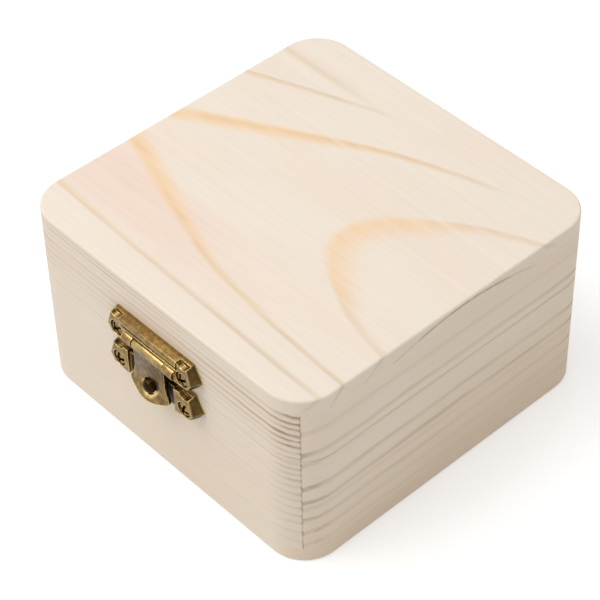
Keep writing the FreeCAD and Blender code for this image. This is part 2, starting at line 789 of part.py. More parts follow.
def check_all(pieces):
    """Stop if anything failed to build, hangs loose in its sketch or cut nothing."""
    for item in doc.Objects:
        if "Invalid" in item.State or "Error" in item.State:
            raise RuntimeError(f"{item.Label} did not build: {item.State}")
        if item.TypeId == "Sketcher::SketchObject" and not item.FullyConstrained:
            raise RuntimeError(f"{item.Label} is not fully dimensioned")
        if item.TypeId == "PartDesign::Pocket" and item.Shape.Volume >= item.BaseFeature.Shape.Volume:
            raise RuntimeError(f"{item.Label} cut nothing")
    for piece in pieces:
        if piece.Shape.isNull() or not piece.Shape.isValid():
            raise RuntimeError(f"{piece.Label} has no valid shape")


def write_all(pieces):
    os.makedirs("parts", exist_ok=True)
    for piece in pieces:
        piece.Shape.exportStep(f"parts/{piece.Label}.step")
        print(f"{piece.Label}: {len(piece.Shape.Solids)} solid, {piece.Shape.Volume:.1f} mm3")


box_pieces = make_all()
doc.recompute()
check_all(box_pieces)
write_all(box_pieces)
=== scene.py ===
import json
import math
from typing import Callable, NamedTuple

import bpy
from mathutils import Matrix, Vector


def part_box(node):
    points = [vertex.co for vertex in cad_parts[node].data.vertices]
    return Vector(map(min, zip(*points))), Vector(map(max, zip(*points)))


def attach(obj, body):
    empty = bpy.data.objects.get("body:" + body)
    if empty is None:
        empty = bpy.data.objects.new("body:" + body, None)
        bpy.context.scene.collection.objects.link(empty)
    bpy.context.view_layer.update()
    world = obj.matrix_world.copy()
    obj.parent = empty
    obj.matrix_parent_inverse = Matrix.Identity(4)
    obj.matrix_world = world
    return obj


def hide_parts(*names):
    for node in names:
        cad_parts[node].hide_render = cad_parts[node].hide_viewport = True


bl_info = {
    "name": "Hinged Pine Box",
    "version": (1, 0, 0),
    "blender": (4, 5, 0),
    "location": "3D View > Sidebar > Pine Box",
    "description": "Finishes a hinged pine box: grained boards, antique brass fittings, a white studio",
    "category": "Object",
}

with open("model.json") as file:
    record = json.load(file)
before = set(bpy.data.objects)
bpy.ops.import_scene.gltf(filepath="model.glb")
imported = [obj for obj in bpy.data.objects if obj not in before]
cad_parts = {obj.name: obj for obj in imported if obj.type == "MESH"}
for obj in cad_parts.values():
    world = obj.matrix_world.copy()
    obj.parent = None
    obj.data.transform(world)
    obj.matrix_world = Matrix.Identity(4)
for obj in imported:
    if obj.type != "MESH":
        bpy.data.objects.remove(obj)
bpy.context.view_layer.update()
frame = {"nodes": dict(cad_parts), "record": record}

# Grain and patina are worked out in millimetres, because noise is easier to judge at that scale
MILLIMETRES = 1000.0

_, top_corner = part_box("lid_top_panel")
_, wall_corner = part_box("box_front_wall")
tongue_low, tongue_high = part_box("clasp_tongue")
HALF_BOX = top_corner.x * MILLIMETRES
BOX_HEIGHT = top_corner.z * MILLIMETRES
SEAM_HEIGHT = wall_corner.z * MILLIMETRES

SLOT_OF_NODE = {part["node"]: part["material_slot"] for part in frame["record"]["subparts"]}
BODY_OF_NODE = {
    node: body for body, nodes in frame["record"]["behaviour"]["bodies"].items() for node in nodes
}


def nodes_of(slot):
    """The CAD nodes that take their finish from a slot."""
    return [node for node, node_slot in SLOT_OF_NODE.items() if node_slot == slot]


def paint(red, green, blue):
    """A colour as a screen shows it, 0 to 255, turned into linear values by the sRGB curve."""
    linear = []
    for shade in (red, green, blue):
        part = shade / 255
        linear.append(part / 12.92 if part <= 0.04045 else ((part + 0.055) / 1.055) ** 2.4)
    return tuple(linear)


# What a user would change


def colour_property(name, description, *screen_colour):
    return bpy.props.FloatVectorProperty(
        name=name, description=description, subtype="COLOR", size=3, min=0, max=1,
        default=paint(*screen_colour),
    )


def number_property(name, description, default, **settings):
    return bpy.props.FloatProperty(name=name, description=description, default=default, **settings)


def angle_property(name, description, degrees):
    return number_property(name, description, math.radians(degrees), subtype="ANGLE")


def length_property(name, description, default, most):
    """A length in metres, which may be a small part of a millimetre."""
    return number_property(name, description, default, min=0, max=most, precision=6, unit="LENGTH")


class PineLook(bpy.types.PropertyGroup):
    early_wood: colour_property("Early wood", "Pale spring growth, most of the surface", 240, 227, 211)
    warm_wood: colour_property("Warm wood", "Where a year line begins, at its crown", 244, 212, 174)
    late_wood: colour_property("Late wood", "Dark side of a year line, at its crown", 210, 176, 138)
    sawn_wood: colour_property("Sawn wood", "Where a year line begins, along the grain", 226, 209, 188)
    grey_wood: colour_property("Grey wood", "Dark side of a year line, along the grain", 174, 152, 128)
    tan_wood: colour_property("Tan wood", "Browner ground low on the walls", 228, 206, 178)
    blush: colour_property("Blush", "Pink cast in patches of the early wood", 240, 216, 200)
    glue_line: colour_property("Glue line", "Thin dark joint at each mitred corner", 150, 124, 100)
    wander: number_property("Wander", "How far a year line strays, in millimetres", 0.7, min=0, max=4)
    raised_grain: length_property("Raised grain", "Height of the grain left by sanding", 0.00006, 0.001)


class BrassLook(bpy.types.PropertyGroup):
    # The patina colour also serves as painted shade on sideways and front faces, behind the tongue and
    # in the screws' crosses
    patina: colour_property("Patina", "Dark brown left in the recesses", 46, 31, 10)
    metal: colour_property("Metal", "Aged brass on open faces", 152, 122, 75)
    # Worn brass also serves as the painted highlight on the tongue's barrel and round its hole
    worn: colour_property("Worn metal", "Bright brass rubbed bare along the edges", 242, 212, 140)
    tongue_metal: colour_property("Tongue metal", "Browner brass of the tongue's leaf", 102, 75, 46)
    # The lip's brass is painted lighter where the lip faces up
    lit_lip_metal: colour_property("Lip metal", "Olive brass of the tongue's lip", 150, 126, 82)
    edge_round: length_property("Edge round", "Width of the round on every brass edge", 0.00006, 0.0005)
    worn_reach: length_property("Worn reach", "How far in the edges are rubbed bare", 0.00048, 0.002)
    cast_skin: length_property("Cast skin", "Height of the casting's fine unevenness", 0.00008, 0.001)
    recess_reach: length_property("Recess reach", "How far out of a recess patina creeps", 0.0016, 0.01)


class StageLook(bpy.types.PropertyGroup):
    azimuth: angle_property("Azimuth", "Way round from the front to the camera", 47.626)
    elevation: angle_property("Elevation", "Angle of the camera above the floor", 44.049)
    roll: angle_property("Roll", "Lean of the camera", -0.992)
    distance: number_property("Distance", "From the box's middle to the camera", 0.51063, unit="LENGTH")
    focal_length: number_property("Focal length", "Lens of the camera", 134.26, unit="CAMERA")
    shift_x: number_property("Shift X", "Sideways shift of the frame, as a share of its width", -0.01853)
    shift_y: number_property("Shift Y", "Upward shift of the frame, as a share of its width", -0.02322)
    sky: number_property("Sky", "Strength of the even white light all round", 0.62, min=0, max=2)
    softbox_power: number_property("Softbox power", "Power of the large lamp", 4.6, min=0, unit="POWER")
    softbox_size: number_property("Softbox size", "Side of the large lamp", 0.7, min=0, unit="LENGTH")
    floor_glow: number_property("Floor glow", "White added to the floor by the box", 0.36, min=0, max=1)


# Shader wiring

# The value that noise swings about, and the detail and roughness of fine noise
NOISE_MIDDLE = 0.5
FINE = (3.0, 0.6)


class Wiring:
    """Adds nodes to one shader tree and joins them."""

    def __init__(self, tree):
        self.tree = tree

    def node(self, kind, label, **settings):
        node = self.tree.nodes.new(kind)
        node.label = label
        for name, value in settings.items():
            setattr(node, name, value)
        return node

    def feed(self, socket, value):
        """Join a socket to another, or set it to a plain value."""
        if isinstance(value, bpy.types.NodeSocket):
            self.tree.links.new(value, socket)
        elif socket.type == "RGBA":
            socket.default_value = (*value, 1.0)
        else:
            socket.default_value = value

    def feed_all(self, node, values):
        for name, value in values.items():
            self.feed(node.inputs[name], value)

    def math(self, operation, *terms, label="", clamp=False):
        node = self.node("ShaderNodeMath", label, operation=operation, use_clamp=clamp)
        for socket, term in zip(node.inputs, terms):
            self.feed(socket, term)
        return node.outputs["Value"]

    def vector_math(self, operation, *terms, label=""):
        node = self.node("ShaderNodeVectorMath", label, operation=operation)
        for socket, term in zip(node.inputs, terms):
            self.feed(socket, term)
        return node.outputs["Value" if operation in ("DOT_PRODUCT", "LENGTH") else "Vector"]

    def spread(self, value, low, high, to_low=0.0, to_high=1.0, label=""):
        """A smooth step of value, from to_low at low to to_high at high."""
        node = self.node("ShaderNodeMapRange", label, interpolation_type="SMOOTHSTEP")
        self.feed_all(node, {
            "Value": value, "From Min": low, "From Max": high, "To Min": to_low, "To Max": to_high,
        })
        return node.outputs["Result"]

    def mix(self, share, first, second, label="", blend="MIX"):
        node = self.node("ShaderNodeMix", label, data_type="RGBA", blend_type=blend)
        self.feed(node.inputs["Factor"], share)
        colours = [socket for socket in node.inputs if socket.type == "RGBA"]
        self.feed(colours[0], first)
        self.feed(colours[1], second)
        return next(socket for socket in node.outputs if socket.type == "RGBA")

    def noise(self, place, cells, detail=2.0, roughness=0.5, label=""):
        """Noise from 0 to 1, with its cells per millimetre given for each axis."""
        scaled = self.vector_math("MULTIPLY", place, cells, label=f"{label} stretch")
        node = self.node("ShaderNodeTexNoise", label)
        self.feed_all(node, {"Vector": scaled, "Scale": 1.0, "Detail": detail, "Roughness": roughness})
        return node.outputs["Fac"]

    def centred(self, noise):
        """Noise moved to swing about 0."""
        return self.math("SUBTRACT", noise, NOISE_MIDDLE)

    def curve(self, value, points, label=""):
        """A line through points that run from 0 to 1 across, straight from each to the next."""
        node = self.node("ShaderNodeFloatCurve", label)
        line = node.mapping.curves[0]
        line.points[0].location = points[0]
        line.points[1].location = points[-1]
        for point in points[1:-1]:
            line.points.new(*point)
        for point in line.points:
            point.handle_type = "VECTOR"
        node.mapping.update()
        self.feed(node.inputs["Value"], value)
        return node.outputs["Value"]

    def split(self, vector, label=""):
        node = self.node("ShaderNodeSeparateXYZ", label)
        self.feed(node.inputs["Vector"], vector)
        return node.outputs["X"], node.outputs["Y"], node.outputs["Z"]

    def group(self, tree, label, values):
        node = self.node("ShaderNodeGroup", label, node_tree=tree)
        self.feed_all(node, values)
        return node.outputs


def new_group(name, inputs, outputs):
    """An empty shader group with the named sockets of each kind, its wiring, and its own two ends."""
    tree = bpy.data.node_groups.new(name, "ShaderNodeTree")
    for side, sockets in (("INPUT", inputs), ("OUTPUT", outputs)):
        for kind, names in sockets.items():
            for socket_name in names:
                tree.interface.new_socket(name=socket_name, in_out=side, socket_type=f"NodeSocket{kind}")
    wiring = Wiring(tree)
    given = wiring.node("NodeGroupInput", "Given").outputs
    made = wiring.node("NodeGroupOutput", "Made").inputs
    return tree, wiring, given, made


def fresh_wiring(owner):
    """The wiring of a material or a world that starts with no nodes."""
    owner.use_nodes = True
    owner.node_tree.nodes.clear()
    return Wiring(owner.node_tree)


def finish_name(slot):
    """The finished material of a slot, beside the plain one that the frame brings."""
    return f"{slot}_finish"


def new_finish(slot):
    """The wiring and the surface shader of a slot's new, empty material."""
    wiring = fresh_wiring(bpy.data.materials.new(finish_name(slot)))
    shader = wiring.node("ShaderNodeBsdfPrincipled", "Surface")
    output = wiring.node("ShaderNodeOutputMaterial", "Output")
    wiring.feed(output.inputs["Surface"], shader.outputs["BSDF"])
    return wiring, shader


def own_place(wiring, turn=(0, 0, 0), shift=(0, 0, 0)):
    """Object coordinates in millimetres, turned by degrees and shifted to suit a board."""
    source = wiring.node("ShaderNodeTexCoord", "Where")
    mapping = wiring.node("ShaderNodeMapping", "Board's own place", vector_type="POINT")
    wiring.feed_all(mapping, {
        "Vector": source.outputs["Object"],
        "Location": shift,
        "Rotation": tuple(math.radians(angle) for angle in turn),
        "Scale": (MILLIMETRES,) * 3,
    })
    return mapping.outputs["Vector"]


def own_facing(wiring):
    """The three parts of a surface's facing, which turn with the piece."""
    source = wiring.node("ShaderNodeTexCoord", "Facing")
    return wiring.split(source.outputs["Normal"], "Facing parts")


# Pine in general

# Noise in the wood, in cells per millimetre along a board and the two ways across it
SLOW_BEND = (0.025, 0.05, 0.06)
QUICK_RIPPLE = (0.10, 0.2, 0.30)
FEATHERED_FIBRE = (0.06, 1.6, 1.6)
SWAY = (0.02, 0.02, 0.02)
PATCHES = (0.035, 0.4, 0.4)
FIBRE = (0.14, 2.6, 2.6)
STREAKS = (0.012, 0.8, 0.8)
CLOUDS = (0.018, 0.05, 0.05)

# How much the quick ripple adds to the slow bend, and how far they swing for each millimetre of wander
RIPPLE_SHARE = 0.5
BEND_SWING = 2.0


def straight_grain_group():
    """Height of the growth at a place on an edge-sawn board, with lines that wander along it."""
    tree, wiring, given, made = new_group(
        "Straight grain",
        {"Vector": ("Place",), "Float": ("Wander", "Feather", "Lean")},
        {"Float": ("Height",)},
    )
    place = given["Place"]
    _, depth, height = wiring.split(place)
    slow = wiring.centred(wiring.noise(place, SLOW_BEND, label="Slow bend"))
    quick = wiring.centred(wiring.noise(place, QUICK_RIPPLE, label="Quick ripple"))
    bend = wiring.math("MULTIPLY_ADD", quick, RIPPLE_SHARE, slow)
    swing = wiring.math("MULTIPLY", given["Wander"], BEND_SWING)
    wandered = wiring.math("MULTIPLY_ADD", bend, swing, height)
    fibre = wiring.centred(wiring.noise(place, FEATHERED_FIBRE, *FINE, label="Feathered fibre"))
    feathered = wiring.math("MULTIPLY_ADD", fibre, given["Feather"], wandered)
    wiring.feed(made["Height"], wiring.math("MULTIPLY_ADD", depth, given["Lean"], feathered))
    return tree


# How far an arch runs on along the grain for each millimetre of depth below the board's face
DEPTH_RUN = 7.0


def cathedral_group():
    """Where a place lies on a flat-sawn board: how far off the arches' middle line, and along them.

    The arches run on along the grain below the surface, so that the end of the board shows them as arcs.
    """
    tree, wiring, given, made = new_group(
        "Cathedral grain",
        {"Vector": ("Place",), "Float": ("Drift", "Offset", "Wander")},
        {"Float": ("Off middle", "Run")},
    )
    along, across, depth = wiring.split(given["Place"])
    middle = wiring.math("MULTIPLY_ADD", along, given["Drift"], given["Offset"])
    sway = wiring.centred(wiring.noise(given["Place"], SWAY, label="Sway"))
    swayed = wiring.math("MULTIPLY_ADD", sway, given["Wander"], across)
    wiring.feed(made["Off middle"], wiring.math("SUBTRACT", swayed, middle))
    wiring.feed(made["Run"], wiring.math("MULTIPLY_ADD", depth, DEPTH_RUN, along))
    return tree


def year_arch_group():
    """How far a place lies outside one arched year line, measured square to the line.

    The arch leaves its crown with a blunt or a pointed bend, runs on at its slope, and flattens off
    where it gets wider than its straight part.
    """
    tree, wiring, given, made = new_group(
        "Year arch",
        {"Float": ("Off middle", "Run", "Crown", "Slope", "Blunt", "Straight", "Flatten")},
        {"Float": ("Past",)},
    )
    width = wiring.math("ABSOLUTE", given["Off middle"])
    blunt_square = wiring.math("MULTIPLY", given["Blunt"], given["Blunt"])
    bent = wiring.math("SQRT", wiring.math("MULTIPLY_ADD", width, width, blunt_square))
    arm = wiring.math("MULTIPLY", wiring.math("SUBTRACT", bent, given["Blunt"]), given["Slope"])
    over = wiring.math("MAXIMUM", wiring.math("SUBTRACT", width, given["Straight"]), 0.0)
    flat = wiring.math("MULTIPLY", over, given["Flatten"])
    reach = wiring.math("MULTIPLY_ADD", flat, over, arm)
    outward = wiring.math("SUBTRACT", reach, wiring.math("SUBTRACT", given["Run"], given["Crown"]))
    rise = wiring.math("MULTIPLY", given["Slope"], wiring.math("DIVIDE", width, bent))
    steep = wiring.math("MULTIPLY_ADD", flat, 2.0, rise)
    square = wiring.math("SQRT", wiring.math("MULTIPLY_ADD", steep, steep, 1.0))
    wiring.feed(made["Past"], wiring.math("DIVIDE", outward, square))
    return tree


# Smooth steps of sanded pine, in the order that Wiring.spread takes them
PATCHY_STEP = (0.3, 0.6, 0.7, 1.0)
BLUSH_STEP = (0.42, 0.64, 0.0, 0.3)
WARM_STEP = (0.0, 0.5)
DARK_STEP = (0.35, 1.0)

# How much fibres, streaks and a rounded corner lighten or darken the wood
FIBRE_SHADE = 0.08
STREAK_SHADE = 0.09
CORNER_SHADE = -0.03

# Roughness and height of sanded pine, and what its fibres and late wood add to them
PINE_ROUGHNESS = 0.52
FIBRE_ROUGHNESS = 0.12
FIBRE_RISE = 0.6
LATE_RISE = 0.5
GRAIN_BUMP = 0.5
PINE_GLOSS = 0.3


def pine_surface_group():
    """Colour, roughness and height of sanded pine, from how much late wood shows at a place."""
    tree, wiring, given, made = new_group(
        "Pine surface",
        {
            "Vector": ("Place",),
            "Float": ("Late wood", "End grain", "Flush"),
            "Color": ("Early colour", "Warm colour", "Late colour", "Blush"),
        },
        {"Color": ("Colour",), "Float": ("Roughness", "Height")},
    )
    place = given["Place"]
    patchy = wiring.spread(wiring.noise(place, PATCHES, label="Patchy"), *PATCHY_STEP)
    late = wiring.math("MULTIPLY", given["Late wood"], patchy)
    fibre = wiring.noise(place, FIBRE, *FINE, label="Fibre")
    streak = wiring.noise(place, STREAKS, label="Streak")
    cloud = wiring.noise(place, CLOUDS, label="Cloud")
    flushed = wiring.math("ADD", wiring.spread(cloud, *BLUSH_STEP), given["Flush"])
    ground = wiring.mix(flushed, given["Early colour"], given["Blush"])
    warmed = wiring.mix(wiring.spread(late, *WARM_STEP), ground, given["Warm colour"], "Warm rise")
    darkened = wiring.mix(wiring.spread(late, *DARK_STEP), warmed, given["Late colour"], "Dark rim")
    fine = wiring.math("MULTIPLY_ADD", wiring.centred(fibre), FIBRE_SHADE, 1.0)
    broad = wiring.math("MULTIPLY_ADD", wiring.centred(streak), STREAK_SHADE, fine)
    corner = wiring.math("MULTIPLY_ADD", given["End grain"], CORNER_SHADE, 1.0)
    shade = wiring.math("MULTIPLY", broad, corner)
    grey = wiring.node("ShaderNodeCombineColor", "Even shade")
    for channel in ("Red", "Green", "Blue"):
        wiring.feed(grey.inputs[channel], shade)
    shaded = wiring.mix(1.0, darkened, grey.outputs["Color"], "Fibre shade", "MULTIPLY")
    wiring.feed(made["Colour"], shaded)
    wiring.feed(made["Roughness"], wiring.math("MULTIPLY_ADD", fibre, FIBRE_ROUGHNESS, PINE_ROUGHNESS))
    fibre_rise = wiring.math("MULTIPLY", fibre, FIBRE_RISE)
    wiring.feed(made["Height"], wiring.math("MULTIPLY_ADD", late, LATE_RISE, fibre_rise))
    return tree


def finish_pine(wiring, shader, surface, look):
    """Join the pine surface to the shader."""
    bump = wiring.node("ShaderNodeBump", "Raised grain")
    wiring.feed_all(bump, {
        "Strength": GRAIN_BUMP, "Distance": look.raised_grain, "Height": surface["Height"],
    })
    wiring.feed_all(shader, {
        "Base Color": surface["Colour"], "Roughness": surface["Roughness"],
        "Normal": bump.outputs["Normal"], "Specular IOR Level": PINE_GLOSS,
    })


# Edge-sawn walls


class WallBoard(NamedTuple):
    """How one wall, with the lid rail above it, is sawn. Lengths are in millimetres."""

    # How far round the box the wall is turned, in degrees
    turn: float
    # Height and strength of each year line on the outer face
    lines: tuple
    # How far a year line takes to come on and to end, and how much of that is fully dark
    comes_on: float
    ends: float
    dark_share: float
    # How fuzzy the lines are, and how much they lean through the wall's thickness
    feather: float
    lean: float
    # How much stronger the lines are round the corners
    corner_gain: float
    # How tan the wood is at the top and at the bottom
    tan_top: float
    tan_foot: float


# Height and strength of each wall's year lines, from the top down
FRONT_LINES = (
    (46.3, 0.5), (44.4, 0.65), (42.7, 0.45), (40.8, 0.7), (39.0, 0.5), (37.2, 0.55), (35.4, 0.4),
    (33.6, 0.45), (31.9, 0.4), (30.2, 0.5), (28.4, 0.4), (26.6, 0.5), (24.6, 0.4), (22.4, 0.5),
    (20.4, 0.35), (18.0, 0.4), (15.4, 0.4), (13.0, 0.3), (10.2, 0.3), (7.2, 0.25), (4.0, 0.3),
    (1.6, 0.3),
)
RIGHT_LINES = (
    (42.0, 0.4), (35.4, 0.6), (32.4, 0.4), (25.0, 0.65), (20.4, 0.75), (18.2, 0.35), (14.6, 0.6),
    (10.6, 0.55), (6.6, 0.5), (4.2, 0.4), (1.8, 0.6),
)
BACK_LINES = (
    (45.2, 0.5), (42.4, 0.35), (39.0, 0.6), (36.4, 0.4), (33.4, 0.55), (30.6, 0.35), (27.2, 0.5),
    (24.2, 0.6), (21.0, 0.4), (18.4, 0.5), (15.0, 0.6), (12.4, 0.4), (9.0, 0.5), (6.2, 0.4), (3.0, 0.5),
)
LEFT_LINES = (
    (46.0, 0.4), (42.4, 0.55), (39.2, 0.4), (35.0, 0.6), (31.6, 0.45), (28.4, 0.5), (23.4, 0.65),
    (19.6, 0.45), (16.0, 0.6), (12.8, 0.4), (9.4, 0.55), (7.0, 0.4), (3.2, 0.5),
)

WALLS = {
    "pine_front": WallBoard(
        turn=0, lines=FRONT_LINES, comes_on=1.0, ends=0.65, dark_share=0.02, feather=0.75, lean=0.2,
        corner_gain=1.0, tan_top=0.1, tan_foot=0.15,
    ),
    "pine_right": WallBoard(
        turn=-90, lines=RIGHT_LINES, comes_on=1.3, ends=0.85, dark_share=0.35, feather=1.3, lean=0.5,
        corner_gain=0.4, tan_top=0.2, tan_foot=0.65,
    ),
    "pine_back": WallBoard(
        turn=180, lines=BACK_LINES, comes_on=1.2, ends=0.8, dark_share=0.2, feather=1.0, lean=-0.2,
        corner_gain=0.5, tan_top=0.1, tan_foot=0.35,
    ),
    "pine_left": WallBoard(
        turn=90, lines=LEFT_LINES, comes_on=1.3, ends=0.85, dark_share=0.3, feather=1.2, lean=0.2,
        corner_gain=0.5, tan_top=0.3, tan_foot=0.1,
    ),
}

# A year line's shoulder: how far out it lies, as a share of the coming on, and how dark it is
SHOULDER_REACH = 0.3
SHOULDER_SHADE = 0.55

# Smooth steps along or up a wall, by millimetres, in the order that Wiring.spread takes them
TAN_HEIGHTS = (2, 32)
BROWNER_STEP = (-0.5 * HALF_BOX, 0.0, 0.7, 1.2)
CORNER_STEP = (HALF_BOX - 11, HALF_BOX - 3)
FRONT_UPPER_STEP = (32, 40, 0.12, 0.95)
FRONT_LEFT_STEP = (-35, 5, 0.7, 1.0)
FRONT_RIGHT_STEP = (-5, 25, 0.0, 0.32)

# How strongly the lines of the other walls show
EVEN_STRENGTH = 0.75

# How the glue line ends away from the mitre, and how it shows on pale wood and at a year line
GLUE_STEP = (0.05, 0.5, 1.0, 0.0)
GLUE_SHOWN_STEP = (0.0, 0.5, 0.25, 0.7)


def band_points(wall):
    """Curve points for the darkness of a wall's year lines, each coming on from below, then ending."""
    profile = (
        (-wall.comes_on, 0.0),
        (-wall.comes_on * (SHOULDER_REACH + wall.dark_share), SHOULDER_SHADE),
        (-wall.comes_on * wall.dark_share, 1.0),
        (wall.ends * wall.dark_share, 1.0),
        (wall.ends, 0.0),
    )
    points = [(0.0, 0.0)]
    for line, strength in sorted(wall.lines):
        for offset, share in profile:
            points.append(((line + offset) / BOX_HEIGHT, strength * share))
    points.append((1.0, 0.0))
    return points


def wall_strength(slot, wiring, along, height):
    """How strongly a wall's lines show: the front's fade away from its top and its right-hand end."""
    if slot != "pine_front":
        return EVEN_STRENGTH
    upper = wiring.spread(height, *FRONT_UPPER_STEP, label="Stronger above")
    leftward = wiring.spread(along, *FRONT_LEFT_STEP, label="Fainter to the left")
    rightward = wiring.spread(along, *FRONT_RIGHT_STEP, label="Stronger to the right")
    return wiring.math("MULTIPLY_ADD", upper, leftward, rightward)


def grain_wall(slot, groups, look):
    """Edge-sawn pine: level lines, darker where the rounded corner cuts across the grain."""
    wall = WALLS[slot]
    wiring, shader = new_finish(slot)
    place = own_place(wiring, (0, 0, wall.turn), (0, HALF_BOX, 0))
    along, depth, height = wiring.split(place, "Along, depth, height")
    grain = wiring.group(groups["straight"], "Grain", {
        "Place": place, "Wander": look.wander, "Feather": wall.feather, "Lean": wall.lean,
    })
    share = wiring.math("DIVIDE", grain["Height"], BOX_HEIGHT)
    bands = wiring.curve(share, band_points(wall), "Year lines")
    tan_low = wiring.spread(grain["Height"], *TAN_HEIGHTS, wall.tan_foot, wall.tan_top, "Tan heart")
    browner = wiring.spread(along, *BROWNER_STEP, label="Browner to the right")
    tan = wiring.math("MULTIPLY", tan_low, browner, clamp=True)
    reach = wiring.math("ABSOLUTE", along)
    bend = wiring.spread(reach, *CORNER_STEP, label="Round the corner")
    off_corner = wall_strength(slot, wiring, along, height)
    strength = wiring.math("MULTIPLY_ADD", bend, wall.corner_gain, off_corner)
    late = wiring.math("MULTIPLY", bands, strength, clamp=True)
    surface = wiring.group(groups["surface"], "Sanded pine", {
        "Place": place,
        "Late wood": late,
        "End grain": bend,
        "Flush": 0.0,
        "Early colour": wiring.mix(tan, look.early_wood, look.tan_wood),
        "Blush": wiring.mix(tan, look.blush, look.tan_wood),
        "Warm colour": look.sawn_wood,
        "Late colour": look.grey_wood,
    })
    finish_pine(wiring, shader, surface, look)
    to_mitre = wiring.math("SUBTRACT", HALF_BOX, wiring.math("ADD", reach, depth), label="To the mitre")
    joint = wiring.spread(to_mitre, *GLUE_STEP, label="Glue line")
    at_line = wiring.spread(late, *GLUE_SHOWN_STEP, label="Darker at a year line")
    shown = wiring.math("MULTIPLY", joint, at_line)
    wiring.feed(shader.inputs["Base Color"], wiring.mix(shown, surface["Colour"], look.glue_line))


# Flat-sawn panels


class ArchShape(NamedTuple):
    """How an arched year line bends. Lengths are in millimetres."""

    # Slope of its arms, and how blunt its crown is
    slope: float
    blunt: float
    # How far off the middle it starts to flatten off, and how fast it does
    straight: float
    flatten: float
    # The one side of the middle that it shows on, 1 or -1, or 0 for both
    side: int


class YearArch(NamedTuple):
    """One arched year line of a panel. Lengths are in millimetres."""

    # Where its crown is along the grain, and how strong it is
    crown: float
    strength: float
    # How far it takes to come on and to end at its crown
    comes_on: float
    ends: float
    # How far off the middle it is at its thinnest
    thin: float
    shape: ArchShape


class PanelBoard(NamedTuple):
    """How one panel is sawn. Lengths are in millimetres."""

    # Turn in degrees and shift that bring the board's face to its own place
    turn: tuple
    shift: tuple
    # Drift and offset of the arches' middle line
    drift: float
    offset: float
    lines: tuple
    # How tan the wood is at the left and at the right
    tan_left: float
    tan_right: float
    # Place across, and strength, of a lone streak that starts at the left end
    streak_place: float
    streak_strength: float
    # Depth and strength of the year lines on the long edges
    edge_lines: tuple


POINTED = ArchShape(slope=2.3, blunt=4.0, straight=24.0, flatten=0.18, side=0)
BLUNT = ArchShape(slope=2.3, blunt=20.0, straight=18.0, flatten=0.16, side=0)
LONG_BACK = ArchShape(slope=3.5, blunt=1.0, straight=28.0, flatten=0.05, side=-1)
LONG_FRONT = ArchShape(slope=6.7, blunt=1.0, straight=40.0, flatten=0.0, side=1)

TOP_LINES = (
    YearArch(50.6, 0.9, 5.0, 3.0, 32, BLUNT),
    YearArch(12.5, 0.42, 10.0, 3.5, 22, BLUNT),
    YearArch(-53.4, 0.54, 5.5, 3.2, 34, POINTED),
    YearArch(-139.6, 0.48, 6.0, 3.0, 34, LONG_BACK),
    YearArch(-231.3, 0.48, 6.0, 3.0, 34, LONG_FRONT),
)
BOTTOM_LINES = (
    YearArch(40.0, 0.3, 6.0, 2.0, 32, BLUNT),
    YearArch(8.0, 0.25, 6.0, 2.0, 32, BLUNT),
    YearArch(-28.0, 0.3, 6.0, 2.0, 32, BLUNT),
    YearArch(-70.0, 0.3, 6.0, 2.0, 32, POINTED),
    YearArch(-120.0, 0.2, 6.0, 2.0, 32, POINTED),
)

PANELS = {
    "pine_top": PanelBoard(
        turn=(180, 0, 0), shift=(0, 0, BOX_HEIGHT), drift=-0.11, offset=1.9, lines=TOP_LINES,
        tan_left=0, tan_right=0, streak_place=-34, streak_strength=0.38,
        edge_lines=((1.25, 0.5), (2.5, 0.55)),
    ),
    "pine_bottom": PanelBoard(
        turn=(0, 0, 0), shift=(0, 4, 0), drift=0.05, offset=3.0, lines=BOTTOM_LINES,
        tan_left=0.15, tan_right=0.65, streak_place=20, streak_strength=0.2, edge_lines=(),
    ),
}

# How much more the arches wander than the walls' lines
PANEL_WANDER = 1.5

# Off the middle, an arch gets thinner from here on, down to this share of its width
ARM_START = 5
ARM_WIDTH = 0.3

# It gets this grey, between these shares of the way to where it is thinnest
ARM_GREY = 0.85
GREY_START = 0.42
GREY_END = 1.15

# How near the middle an arch with one side ends
SIDE_END = (-2.0, -1.0)

# The arches fade on a slanting line at the back of the board, and a little below its face
BACK_SLANT = -0.12
BACK_FADE = (-39, -31, 0.0, 1.0)
DEPTH_FADE = (0.6, 3.5, 1.0, 0.55)

# The lone streak: its width, where along the board it ends, and how grey it is
STREAK_WIDTH = 2.6
STREAK_END = (-0.7 * HALF_BOX, -0.15 * HALF_BOX)
STREAK_GREY = 0.8

# Late wood is taken as at least this much where something is divided by it
LEAST_LATE = 0.001

# A flushed patch in front of the middle: its place across, its edge, and how it fades to the right
FLUSH_PLACE = 0.58 * HALF_BOX
FLUSH_EDGE = (0.12 * HALF_BOX, 0.24 * HALF_BOX, 1.0, 0.0)
FLUSH_FADE = (-0.4 * HALF_BOX, 0.2 * HALF_BOX, 0.8, 0.1)

# Where the board's right-hand end turns tan, and how tan its edges are all round
TAN_PLACES = (0.75 * HALF_BOX, 0.95 * HALF_BOX)
EDGE_TAN = 0.15

# How far a face is turned before it counts as the board's edge, or as a long edge
EDGE_FACING = (0.9, 0.5)
LONG_EDGE_FACING = (0.6, 0.9)

# Year lines on a long edge: how far they stray, how fuzzy and wide they are, and how they fade away
EDGE_WANDER = 0.3
EDGE_FEATHER = 0.6
EDGE_LINE_WIDTH = 0.6
EDGE_FADE = (0.1 * HALF_BOX, 0.65 * HALF_BOX, 1.0, 0.2)


